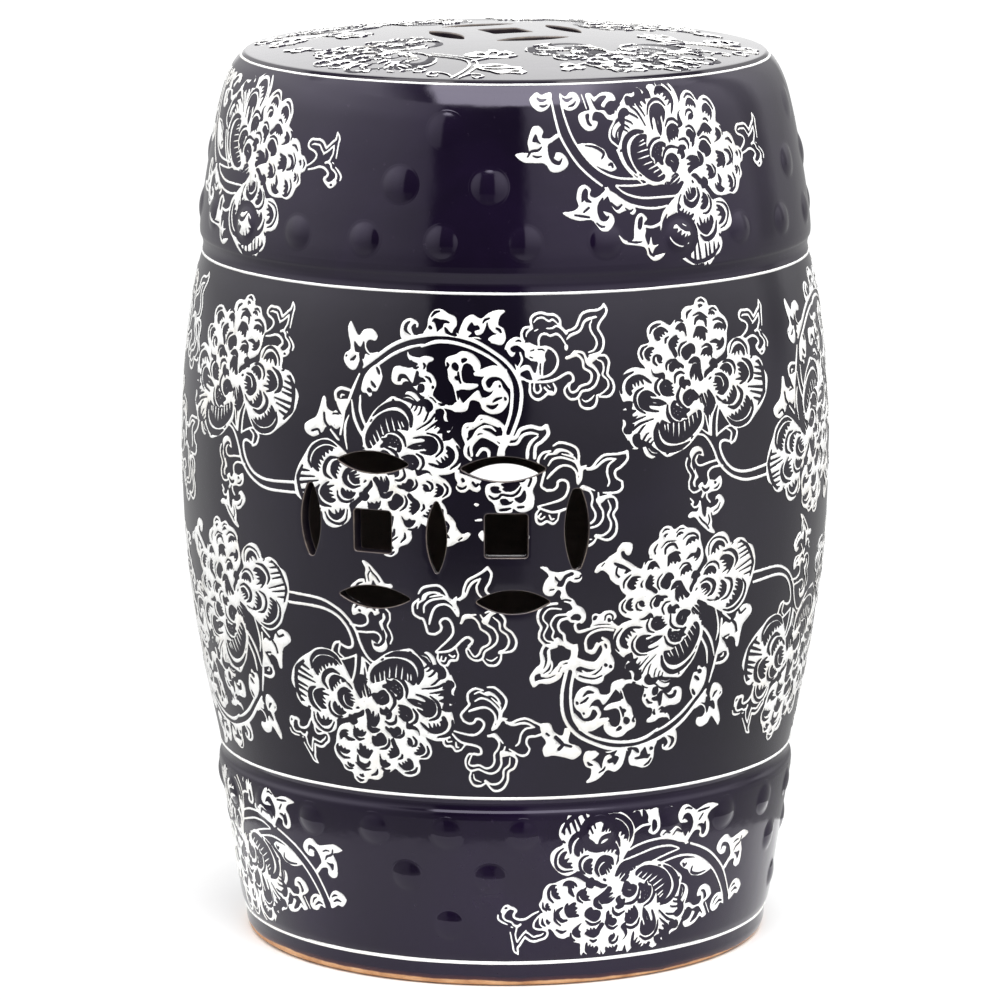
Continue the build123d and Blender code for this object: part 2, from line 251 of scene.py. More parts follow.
def glaze_material(name, tone, tint, mirror=0.5, thin_edges=False, bare_below=None):
    mat = bpy.data.materials.new(name)
    nt, nd, ln = nodes_of(mat)
    out = nd.new("ShaderNodeOutputMaterial")
    bs = nd.new("ShaderNodeBsdfPrincipled")
    ln.new(bs.outputs[0], out.inputs[0])
    tc = nd.new("ShaderNodeTexCoord")
    pos = tc.outputs["Object"]
    cloud = noise(nt, 9.0, 4.0, 0.6, pos, 0.4)
    col = ramp(nt, cloud.outputs["Fac"], [(0.30, tone[0]), (0.52, tone[1]), (0.74, tone[2])]).outputs["Color"]
    fine = noise(nt, 420.0, 2.0, 0.5, pos)
    speck = ramp(nt, fine.outputs["Fac"], [(0.70, (0.0, 0.0, 0.0)), (0.80, (1.0, 1.0, 1.0))]).outputs["Color"]
    col = mix_col(nt, math_node(nt, "MULTIPLY", speck, 0.10), col, rgb(96, 84, 104))
    rough = ramp(nt, noise(nt, 34.0, 3.0, 0.6, pos).outputs["Fac"], [(0.3, (0.055, 0.055, 0.055)), (0.75, (0.12, 0.12, 0.12))]).outputs["Color"]
    if thin_edges:
        at = nd.new("ShaderNodeAttribute")
        at.attribute_name = "thin"
        grain = noise(nt, 160.0, 3.0, 0.6, pos)
        fac = math_node(nt, "MULTIPLY", at.outputs["Fac"], math_node(nt, "ADD", math_node(nt, "MULTIPLY", grain.outputs["Fac"], 1.0), 0.02), True)
        clay = ramp(nt, noise(nt, 60.0, 2.0, 0.5, pos).outputs["Fac"], [(0.3, rgb(112, 102, 98)), (0.7, rgb(172, 156, 140))]).outputs["Color"]
        col = mix_col(nt, fac, col, clay)
    if bare_below is not None:
        sep = nd.new("ShaderNodeSeparateXYZ")
        ln.new(pos, sep.inputs[0])
        edge = noise(nt, 38.0, 3.0, 0.6, pos)
        zz = math_node(nt, "ADD", sep.outputs["Z"], math_node(nt, "MULTIPLY", math_node(nt, "SUBTRACT", edge.outputs["Fac"], 0.5), 0.0028))
        zz = math_node(nt, "ADD", zz, math_node(nt, "MULTIPLY", sep.outputs["X"], 0.009))
        up = nd.new("ShaderNodeMapRange")
        up.inputs["From Min"].default_value = bare_below - 0.00035
        up.inputs["From Max"].default_value = bare_below + 0.00035
        ln.new(zz, up.inputs["Value"])
        clay = ramp(nt, noise(nt, 70.0, 5.0, 0.65, pos).outputs["Fac"], [(0.28, rgb(168, 116, 76)), (0.5, rgb(203, 154, 110)), (0.74, rgb(226, 184, 142))]).outputs["Color"]
        dark_line = nd.new("ShaderNodeMapRange")
        dark_line.inputs["From Min"].default_value = bare_below + 0.0002
        dark_line.inputs["From Max"].default_value = bare_below + 0.0026
        ln.new(zz, dark_line.inputs["Value"])
        brown = mix_col(nt, dark_line.outputs[0], rgb(70, 38, 34), col)
        col = mix_col(nt, up.outputs[0], clay, brown)
        rough = mix_col(nt, up.outputs[0], (0.72, 0.72, 0.72), rough)
    ln.new(col, bs.inputs["Base Color"])
    ln.new(rough, bs.inputs["Roughness"])
    bs.inputs["IOR"].default_value = 1.52
    bs.inputs["Specular IOR Level"].default_value = mirror
    bs.inputs["Specular Tint"].default_value = (*tint, 1.0)
    peel = noise(nt, 55.0, 2.0, 0.5, pos)
    pits = noise(nt, 300.0, 2.0, 0.5, pos)
    height = math_node(nt, "ADD", peel.outputs["Fac"], math_node(nt, "MULTIPLY", pits.outputs["Fac"], 0.10))
    bump = nd.new("ShaderNodeBump")
    bump.inputs["Strength"].default_value = 0.10
    bump.inputs["Distance"].default_value = 0.0012
    ln.new(height, bump.inputs["Height"])
    ln.new(bump.outputs[0], bs.inputs["Normal"])
    return mat


def slip_material(name, shaded_edges=False):
    mat = bpy.data.materials.new(name)
    nt, nd, ln = nodes_of(mat)
    out = nd.new("ShaderNodeOutputMaterial")
    bs = nd.new("ShaderNodeBsdfPrincipled")
    ln.new(bs.outputs[0], out.inputs[0])
    pos = nd.new("ShaderNodeTexCoord").outputs["Object"]
    cloud = noise(nt, 40.0, 4.0, 0.6, pos)
    col = ramp(nt, cloud.outputs["Fac"], [(0.30, rgb(247, 244, 238)), (0.50, rgb(252, 252, 250)), (0.72, rgb(255, 255, 254))]).outputs["Color"]
    stain = noise(nt, 26.0, 3.0, 0.6, pos, 0.6)
    tan = ramp(nt, stain.outputs["Fac"], [(0.66, (0.0, 0.0, 0.0)), (0.82, (1.0, 1.0, 1.0))]).outputs["Color"]
    col = mix_col(nt, math_node(nt, "MULTIPLY", tan, 0.40), col, rgb(226, 204, 172))
    dots = noise(nt, 520.0, 1.0, 0.5, pos)
    dot = ramp(nt, dots.outputs["Fac"], [(0.735, (0.0, 0.0, 0.0)), (0.775, (1.0, 1.0, 1.0))]).outputs["Color"]
    col = mix_col(nt, math_node(nt, "MULTIPLY", dot, 0.35), col, rgb(120, 108, 120))
    # painted shade: the slip's low flanks are darkened toward the glaze colour, so its raised edges look shaded
    if shaded_edges:
        rise = nd.new("ShaderNodeAttribute")
        rise.attribute_name = "thin"
        painted_edge_shade = ramp(nt, rise.outputs["Fac"], [(0.30, (0.0, 0.0, 0.0)), (0.95, (1.0, 1.0, 1.0))]).outputs["Color"]
        col = mix_col(nt, painted_edge_shade, col, rgb(34, 26, 46))
    ln.new(col, bs.inputs["Base Color"])
    rough = ramp(nt, noise(nt, 120.0, 3.0, 0.6, pos).outputs["Fac"], [(0.3, (0.22, 0.22, 0.22)), (0.7, (0.38, 0.38, 0.38))]).outputs["Color"]
    ln.new(rough, bs.inputs["Roughness"])
    bump = nd.new("ShaderNodeBump")
    bump.inputs["Strength"].default_value = 0.25
    bump.inputs["Distance"].default_value = 0.0004
    grain = noise(nt, 700.0, 3.0, 0.6, pos)
    ln.new(math_node(nt, "ADD", grain.outputs["Fac"], math_node(nt, "MULTIPLY", noise(nt, 160.0, 2.0, 0.5, pos).outputs["Fac"], 1.5)), bump.inputs["Height"])
    ln.new(bump.outputs[0], bs.inputs["Normal"])
    return mat


def clay_material(name, dark=False):
    mat = bpy.data.materials.new(name)
    nt, nd, ln = nodes_of(mat)
    out = nd.new("ShaderNodeOutputMaterial")
    bs = nd.new("ShaderNodeBsdfPrincipled")
    ln.new(bs.outputs[0], out.inputs[0])
    pos = nd.new("ShaderNodeTexCoord").outputs["Object"]
    big = noise(nt, 22.0, 5.0, 0.65, pos, 0.3)
    stops = [(0.28, rgb(108, 96, 92)), (0.5, rgb(128, 114, 108)), (0.75, rgb(148, 132, 124))] if dark else [(0.28, rgb(168, 116, 76)), (0.5, rgb(203, 154, 110)), (0.75, rgb(226, 184, 142))]
    col = ramp(nt, big.outputs["Fac"], stops).outputs["Color"]
    grit = ramp(nt, noise(nt, 600.0, 2.0, 0.5, pos).outputs["Fac"], [(0.62, (0.0, 0.0, 0.0)), (0.75, (1.0, 1.0, 1.0))]).outputs["Color"]
    col = mix_col(nt, math_node(nt, "MULTIPLY", grit, 0.4), col, rgb(84, 74, 70) if dark else rgb(120, 80, 54))
    ln.new(col, bs.inputs["Base Color"])
    rough = ramp(nt, noise(nt, 90.0, 3.0, 0.6, pos).outputs["Fac"], [(0.3, (0.68, 0.68, 0.68)), (0.7, (0.86, 0.86, 0.86))]).outputs["Color"]
    ln.new(rough, bs.inputs["Roughness"])
    bump = nd.new("ShaderNodeBump")
    bump.inputs["Strength"].default_value = 0.4
    bump.inputs["Distance"].default_value = 0.0006
    rings = nd.new("ShaderNodeTexWave")
    rings.wave_type, rings.bands_direction = "BANDS", "Z"
    rings.inputs["Scale"].default_value = 60.0
    rings.inputs["Distortion"].default_value = 3.0
    ln.new(pos, rings.inputs["Vector"])
    ln.new(math_node(nt, "ADD", math_node(nt, "MULTIPLY", rings.outputs["Fac"], 0.35), noise(nt, 260.0, 4.0, 0.6, pos).outputs["Fac"]), bump.inputs["Height"])
    ln.new(bump.outputs[0], bs.inputs["Normal"])
    return mat


GLAZE = glaze_material("glaze_violet", VIOLET, (0.86, 0.80, 1.0))
GLAZE_LOW = glaze_material("glaze_violet_low", VIOLET, (0.86, 0.80, 1.0), 0.34)
GLAZE_EDGE = glaze_material("glaze_ink_pierced", INK, (0.93, 0.90, 1.0), thin_edges=True)
GLAZE_SEAT = glaze_material("glaze_seat_pierced", VIOLET, (1.0, 0.965, 0.95), thin_edges=True)
GLAZE_FOOT = glaze_material("glaze_foot", VIOLET, (0.86, 0.80, 1.0), 0.36, bare_below=0.0028)
# unreflecting glaze, used as painted shade in the hollows of the seat's petals
SHADE_GLAZE = glaze_material("glaze_painted_shade", VIOLET, (0.95, 0.92, 1.0), 0.008)
SLIP = slip_material("slip_white")
# the scrollwork slip carries painted shade on its flanks
SCROLLWORK = slip_material("slip_scrollwork", True)
INSIDE = clay_material("clay_inside", dark=True)
CLAY = clay_material("clay_bare")


# ------------------------------------------------------------ piercings
def lens(cx, cy, length=LENS_L, width=LENS_W, tip=1.0, upright=False, spin=0.0, n=30):
    """Outline of a lens-shaped hole, its tips a little blunt."""
    hl, hw, e = length / 2, width / 2, tip / 2
    rr = (hl * hl + (hw - e) ** 2) / (2 * (hw - e))
    a = math.asin(hl / rr)
    t = np.linspace(-a, a, n)
    up = np.stack([rr * np.sin(t), rr * np.cos(t) + hw - rr], 1)
    end = np.array([[hl + 0.22 * e, 0.5 * e], [hl + 0.30 * e, 0.0], [hl + 0.22 * e, -0.5 * e]])
    pts = np.concatenate([up, end, -up, -end])
    if upright:
        pts = np.stack([-pts[:, 1], pts[:, 0]], 1)
    c, s = math.cos(math.radians(spin)), math.sin(math.radians(spin))
    return tidy(pts @ np.array([[c, s], [-s, c]]) + np.array([cx, cy]))


def square(cx, cy, wide=SQUARE, high=SQUARE, spin=0.0, r=1.4, n=5):
    """Outline of a square hole with rounded corners."""
    x, y = wide / 2 - r, high / 2 - r
    pts = []
    corners = ((x, y, 0), (-x, y, 90), (-x, -y, 180), (x, -y, 270))
    for k, (qx, qy, a0) in enumerate(corners):
        for a in np.radians(np.linspace(a0, a0 + 90, n)):
            pts.append((qx + r * math.cos(a), qy + r * math.sin(a)))
        nx, ny, a1 = corners[(k + 1) % 4]
        end = np.array(pts[-1])
        nxt = np.array((nx + r * math.cos(math.radians(a1)), ny + r * math.sin(math.radians(a1))))
        for i in range(1, 10):
            pts.append(tuple(end + (nxt - end) * i / 10))
    c, s = math.cos(math.radians(spin)), math.sin(math.radians(spin))
    return tidy(np.array(pts) @ np.array([[c, s], [-s, c]]) + np.array([cx, cy]))


def tidy(p):
    """Counter-clockwise outline."""
    area = np.sum(p[:, 0] * np.roll(p[:, 1], -1) - np.roll(p[:, 0], -1) * p[:, 1])
    return p if area > 0 else p[::-1]


def grown(p, d):
    """Outline moved outward by d."""
    e = np.roll(p, -1, 0) - np.roll(p, 1, 0)
    e /= np.maximum(np.hypot(e[:, 0], e[:, 1])[:, None], 1e-9)
    return p + np.stack([e[:, 1], -e[:, 0]], 1) * d


def inside_of(poly, pts):
    x, y = pts[:, 0], pts[:, 1]
    res = np.zeros(len(pts), bool)
    for (xa, ya), (xb, yb) in zip(poly, np.roll(poly, -1, 0)):
        if ya == yb:
            continue
        hit = ((ya > y) != (yb > y)) & (x < (xb - xa) * (y - ya) / (yb - ya) + xa)
        res ^= hit
    return res


def front_holes():
    """Outline and flare of each opening in the front panel."""
    out = [(square(u, z, w, h), 0.0) for u, z, w, h in FRONT_SQUARES]
    return out + [(lens(u, z, length, w, tip, up), FLARE) for u, z, length, w, tip, up in FRONT_LENSES]


def back_holes():
    c = 2 * QUARTER
    out = []
    for s in (-1, 1):
        out.append((square(c + s * COIN, BACK_Z), 0.0))
        for v in (-1, 1):
            out.append((lens(c + s * COIN, BACK_Z + v * COIN), FLARE))
    return out + [(lens(c + a, BACK_Z, upright=True), FLARE) for a in (-2 * COIN, 0.0, 2 * COIN)]


def seat_holes():
    out = [(square(0, 0, spin=36.5), 0.0)]
    for k in range(4):
        a = 36.5 + 90 * k
        out.append((lens(32.0 * math.cos(math.radians(a)), 32.0 * math.sin(math.radians(a)), upright=True, spin=a), 0.0))
    return out


LIP = [(0.66, 0.0), (0.40, 0.05), (0.20, 0.18), (0.06, 0.45), (0.0, 0.85)]
THIN = [0.0, 0.35, 1.0, 0.75, 0.15]


def pierced(points, border, holes, outer, inner, inner_points):
    """Shell with holes: flat (p, q) points are lifted by outer() and inner(), and each hole gets a rounded lip, a wall and an inner lip."""
    n_b = len(border)
    def sheet(pts, ring_d, flared):
        rings = [grown(h, ring_d + flared * wider) for h, wider in holes]
        keep = np.ones(len(pts), bool)
        for h, wider in holes:
            keep &= ~inside_of(grown(h, ring_d + 1.2 + flared * wider), pts)
        flat = np.concatenate([border] + rings + [pts[keep]])
        edges = [(i, (i + 1) % n_b) for i in range(n_b)]
        base = n_b
        starts = []
        for r in rings:
            starts.append(base)
            edges += [(base + i, base + (i + 1) % len(r)) for i in range(len(r))]
            base += len(r)
        cv, _, cf, ov, _, _ = delaunay_2d_cdt([Vector(p) for p in flat], edges, [], 0, 1e-6)
        cv = np.array([tuple(v) for v in cv])
        tri = np.array([f for f in cf if len(f) == 3])
        cen = cv[tri].mean(1)
        ok = inside_of(border, cen)
        for r in rings:
            ok &= ~inside_of(r, cen)
        back = {}
        for i, o in enumerate(ov):
            for k in o:
                back[k] = i
        return cv, tri[ok], [[back[s + i] for i in range(len(r))] for s, r in zip(starts, rings)], [back[i] for i in range(n_b)]
    ov_, of_, orings, oborder = sheet(points, LIP[0][0], 0)
    iv_, if_, irings, iborder = sheet(inner_points, LIP[0][0], 1)
    verts = [outer(ov_, 0.0)]
    thin = [np.zeros(len(ov_))]
    faces = [tuple(f) for f in of_]
    kind = [0] * len(faces)
    off_i = len(ov_)
    verts.append(inner(iv_, 0.0))
    thin.append(np.zeros(len(iv_)))
    new = [(off_i + a, off_i + c, off_i + b) for a, b, c in if_]
    faces += new
    kind += [1] * len(new)
    n = off_i + len(iv_)
    for (h, wider), ro, ri in zip(holes, orings, irings):
        m = len(h)
        rows = [ro]
        for (d, drop), tn in zip(LIP[1:], THIN[1:]):
            p = grown(h, d)
            verts.append(outer(p, -drop))
            thin.append(np.full(m, tn))
            rows.append(list(range(n, n + m)))
            n += m
        for (d, drop) in LIP[:0:-1]:
            p = grown(h, d + wider)
            verts.append(inner(p, drop))
            thin.append(np.zeros(m))
            rows.append(list(range(n, n + m)))
            n += m
        rows.append([off_i + i for i in ri])
        for k in range(len(rows) - 1):
            a, b = rows[k], rows[k + 1]
            for i in range(m):
                j = (i + 1) % m
                faces.append((a[i], a[j], b[j], b[i]))
                kind.append(0 if k < len(LIP) else 1)
    return np.concatenate(verts), faces, kind, np.concatenate(thin), oborder, [off_i + i for i in iborder]


def build_belly():
    n = 360
    u0 = -QUARTER
    us = u0 + 4 * QUARTER * np.arange(n) / n
    zo = np.concatenate([[98.10, 99.6, 102.0], np.linspace(105, 339, 60), [341.5, 343.7, 345.90]])
    span = 4 * QUARTER
    step = span / n
    # flat sheet from u0 to u0 + a full turn; its two ends are the same edge
    grid = np.array([(u, z) for z in zo[1:-1] for u in us[1:]])
    border = np.concatenate([np.stack([us, np.full(n, zo[0])], 1), [[u0 + span, z] for z in zo[:-1]], np.stack([(u0 + span - step * np.arange(n)), np.full(n, zo[-1])], 1), [[u0, z] for z in zo[:0:-1]]])
    holes = front_holes() + back_holes()
    def outer(p, h):
        return turn(p[:, 0] / R_REF, belly_r(p[:, 1]) + h, p[:, 1])

    def inner(p, h):
        return turn(p[:, 0] / R_REF, belly_in_r(p[:, 1]) + h, p[:, 1])
    v, f, kind, thin, ob, ib = pierced(grid, border, holes, outer, inner, grid)
    # close the top and bottom edges of the shell
    rows = len(zo)
    top = n + rows - 1
    for a, b in ((ob[:n + 1], ib[:n + 1]), (ob[top:top + n + 1], ib[top:top + n + 1])):
        for i in range(n):
            f.append((a[i], b[i], b[i + 1], a[i + 1]))
            kind.append(1)
    # the sheet's two ends are one edge
    remap = np.arange(len(v))
    for idx in (ob, ib):
        for j in range(rows):
            remap[idx[n + j]] = idx[(top + n + rows - 1 - j) % len(border)]
    f = [tuple(remap[list(q)]) for q in f]
    used = np.unique([i for q in f for i in q])
    new = np.full(len(v), -1)
    new[used] = np.arange(len(used))
    f = [tuple(new[list(q)]) for q in f]
    return make("belly_shell", v[used], f, [GLAZE_EDGE, INSIDE], 50.0, mat_index=kind, thin=thin[used], replaces=("belly_wall",))


def build_seat():
    n = 288
    th = np.linspace(0, 2 * math.pi, n, endpoint=False)
    edge = curve(SEAT_EDGE, 5)
    rim = edge[-1, 0]
    border = np.stack([rim * np.cos(th), rim * np.sin(th)], 1)
    pts = [np.zeros((1, 2))]
    radii = np.concatenate([np.arange(4, 124, 3.6), [125.8, 127.4], edge[:-1, 0]])
    for k, r in enumerate(radii):
        m = max(8, int(2 * math.pi * r / 3.8)) if r < 120 else n
        a = np.linspace(0, 2 * math.pi, m, endpoint=False) + 0.37 * (k % 2) * (0 if r >= 120 else 1) * 2 * math.pi / m
        pts.append(np.stack([r * np.cos(a), r * np.sin(a)], 1))
    pts = np.concatenate(pts)
    def outer(p, h):
        r = np.hypot(p[:, 0], p[:, 1])
        return np.stack([p[:, 0], p[:, 1], crown_z(r) + h], 1)
    def inner(p, h):
        r = np.hypot(p[:, 0], p[:, 1])
        s = np.where(r > 122.5, 122.5 / np.maximum(r, 1e-6), 1.0)
        return np.stack([p[:, 0] * s, p[:, 1] * s, under_z(np.minimum(r, 122.5)) + h], 1)
    low = pts[np.hypot(pts[:, 0], pts[:, 1]) < 121]
    v, f, kind, thin, ob, ib = pierced(pts, border, seat_holes(), outer, inner, low)
    for i in range(n):
        j = (i + 1) % n
        f.append((ob[i], ib[i], ib[j], ob[j]))
        kind.append(1)
    return make("seat_shell", v, f, [GLAZE_SEAT, INSIDE], 50.0, mat_index=kind, thin=thin, replaces=("seat_top",))


def lathe_piece(name, outside, inside, n, mats, node, split=True):
    a, b = np.asarray(outside), np.asarray(inside)
    v, f = lathe(np.concatenate([a, b]), n)
    k = len(a) + len(b)
    kind = []
    for i in range(n):
        kind += [0 if j < len(a) - 1 else 1 for j in range(k)]
    return make(name, v, f, mats, 40.0, mat_index=kind if split else [0] * len(f), replaces=(node,))


build_belly()
build_seat()
upper_out = np.concatenate([[(149.2, 346.3)], curve(UPPER_COVE, 6)[:-1], curve(UPPER_OUT, 7), [(131.5, 443.9)]])
lathe_piece("upper_shell", upper_out, curve(UPPER_IN, 4), 360, [GLAZE, INSIDE], "upper_wall")
lower_out = np.concatenate([[(130.4, 12.0)], curve(LOWER_OUT, 7)[:-1], curve(LOWER_COVE, 6), [(142.4, 97.7)]])
lathe_piece("lower_shell", lower_out, curve(LOWER_IN, 4), 360, [GLAZE_LOW, INSIDE], "lower_wall")
foot_out = np.concatenate([[(118.2, 0.0), (121.0, 0.0), (126.0, 0.0)], curve(FOOT_OUT, 8), [(130.4, 12.0)]])
foot_in = curve([(122.6, 12.0), (118.6, 6.0), (117.0, 1.2)], 5)
lathe_piece("foot_shell", foot_out, foot_in, 360, [GLAZE_FOOT, CLAY], "foot_ring")
for name in ("seat_luting_coil", "shoulder_luting_coil", "waist_luting_coil"):
    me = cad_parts[name].data
    for i in range(len(me.materials)):
        me.materials[i] = INSIDE


def line_ring(key, seed, width, rough, off, height):
    """One trailed line of slip round the drum, off mm up from the joint."""
    (cr, cz), (tr, tz) = LINES[key]
    s = math.hypot(tr, tz)
    t, nn = np.array([tr, tz]) / s, np.array([tz, -tr]) / s
    n, m = 720, 12
    th = np.linspace(-math.pi, math.pi, n, endpoint=False)
    wid = width(th) + wave(th, seed, rough, (5, 9, 16, 27, 41, 58))
    mid = off(th) + wave(th, seed + 3.1, 0.07, (2, 4, 7, 12, 19, 31))
    hgt = height + wave(th, seed + 5.7, 0.035, (7, 13, 22, 37, 51))
    cols = [(np.sin(x) * wid / 2 + mid, np.cos(x) * hgt - 0.02) for x in np.linspace(-math.pi / 2, math.pi / 2, m)]
    cols += [(0.42 * wid + mid, np.full(n, -0.38)), (-0.42 * wid + mid, np.full(n, -0.38))]
    k = len(cols)
    v = np.zeros((n, k, 3))
    for j, (along, up) in enumerate(cols):
        v[:, j] = turn(th, cr + along * t[0] + up * nn[0], cz + along * t[1] + up * nn[1])
    f = []
    for i in range(n):
        p, q = i * k, ((i + 1) % n) * k
        for j in range(k):
            o = (j + 1) % k
            f.append((p + j, q + j, q + o, p + o))
    return v.reshape(-1, 3), f


def build_line(key, seed, width):
    v, f = line_ring(key, seed, lambda th: np.full(len(th), width), 0.09, lambda th: 0.0 * th, 0.42)
    if key == "foot":
        # a second thin stroke, apart at the sides and run together in front
        apart = lambda th: np.clip(0.62 - 0.62 * np.cos(1.7 * (th - 0.15)), 0, 1)
        v2, f2 = line_ring(key, seed + 7.7, lambda th: 1.05 - 0.40 * apart(th), 0.05, lambda th: 0.85 + 0.75 * apart(th), 0.30)
        f += [tuple(i + len(v) for i in q) for q in f2]
        v = np.concatenate([v, v2])
    return make(key + "_line", v, f, [SLIP], 60.0, replaces=(key + "_slip_line",))


for i, (key, width) in enumerate((("foot", 1.5), ("waist", 1.45), ("shoulder", 1.3), ("rim", 1.2))):
    build_line(key, 1.3 + 2.1 * i, width)

# ------------------------------------------------------------ bosses
BOSS_H = 1.4
ROWS = {"upper_bosses_row_1": (17.0, 423.0, "one"), "upper_bosses_row_2": (17.0, 397.0, "pair"), "upper_bosses_row_3": (16.0, 370.5, "all"),
        "lower_bosses_row_1": (15.2, 78.8, "all"), "lower_bosses_row_2": (15.2, 55.8, "pair"), "lower_bosses_row_3": (15.2, 31.3, "one")}


def boss_angles(kind):
    if kind == "all":
        return [15.0 * k for k in range(24)]
    if kind == "pair":
        return [90.0 * q + s * 8.5 for q in range(4) for s in (-1, 1)]
    return [90.0 * q for q in range(4)]


def boss_lift(rho, dia):
    r = dia / 2
    rs = (r * r + BOSS_H ** 2) / (2 * BOSS_H)
    s = np.sqrt(np.maximum(rs * rs - np.minimum(rho, 0.97 * rs) ** 2, 0)) - (rs - BOSS_H)
    return 0.5 * (s + np.sqrt(s * s + 0.06)) - 0.02


def build_bosses(name):
    dia, z0, kind = ROWS[name]
    rad = upper_r if z0 > 200 else lower_r
    r0 = float(rad(z0))
    slope = (float(rad(z0 + 4)) - float(rad(z0 - 4))) / 8
    cb = 1 / math.hypot(1, slope)
    rho = np.concatenate([np.linspace(0, dia / 2 - 0.6, 12)[1:], dia / 2 + np.array([-0.25, 0.1, 0.45, 0.85, 1.4, 2.1])])
    m = 32
    verts, faces = [], []
    for i, deg in enumerate(boss_angles(kind)):
        th0 = math.radians(deg)
        g = 1 + 0.02 * math.sin(7.3 * i + z0)
        base = len(verts)
        a = np.linspace(0, 2 * math.pi, m, endpoint=False)
        pts = [(0.0, 0.0)] + [(p * math.cos(x), p * math.sin(x)) for p in rho for x in a]
        p = np.array(pts)
        d = np.hypot(p[:, 0], p[:, 1])
        h = boss_lift(d / g, dia) * (0.42 if z0 > 420 else 1.0)
        h = np.where(d >= rho[-1] - 1e-6, -0.12, h)
        z = z0 + p[:, 1] * cb
        # the dome stands along the wall's own normal
        th = th0 + p[:, 0] / r0
        rr, zz = rad(z) + h * cb, z - h * cb * slope
        verts += turn(th, rr, zz).tolist()
        for j in range(m):
            faces.append((base, base + 1 + j, base + 1 + (j + 1) % m))
        for k in range(len(rho) - 1):
            s0, s1 = base + 1 + k * m, base + 1 + (k + 1) * m
            for j in range(m):
                jj = (j + 1) % m
                faces.append((s0 + j, s1 + j, s1 + jj, s0 + jj))
        last = base + 1 + (len(rho) - 1) * m
        faces.append(tuple(last + j for j in range(m - 1, -1, -1)))
    return make(name + "_domes", verts, faces, [GLAZE if z0 > 200 else GLAZE_LOW], None, replaces=(name,))


for name in ROWS:
    build_bosses(name)


def band_bumps(u, z, radius_ref, upper=True):
    """Lift of the bosses at band drawing points."""
    lift = np.zeros(len(u))
    for name, (dia, z0, kind) in ROWS.items():
        if (z0 > 200) != upper:
            continue
        rad = upper_r if upper else lower_r
        r0 = float(rad(z0))
        slope = (float(rad(z0 + 4)) - float(rad(z0 - 4))) / 8
        k = math.hypot(1, slope)
        near = np.abs(z - z0) < dia
        if not near.any():
            continue
        th = u[near] / radius_ref
        best = np.full(near.sum(), 99.0)
        for deg in boss_angles(kind):
            dth = (th - math.radians(deg) + math.pi) % (2 * math.pi) - math.pi
            best = np.minimum(best, np.hypot(dth * r0, (z[near] - z0) * k))
        lift[near] = np.maximum(lift[near], np.maximum(boss_lift(best, dia), 0))
    return lift
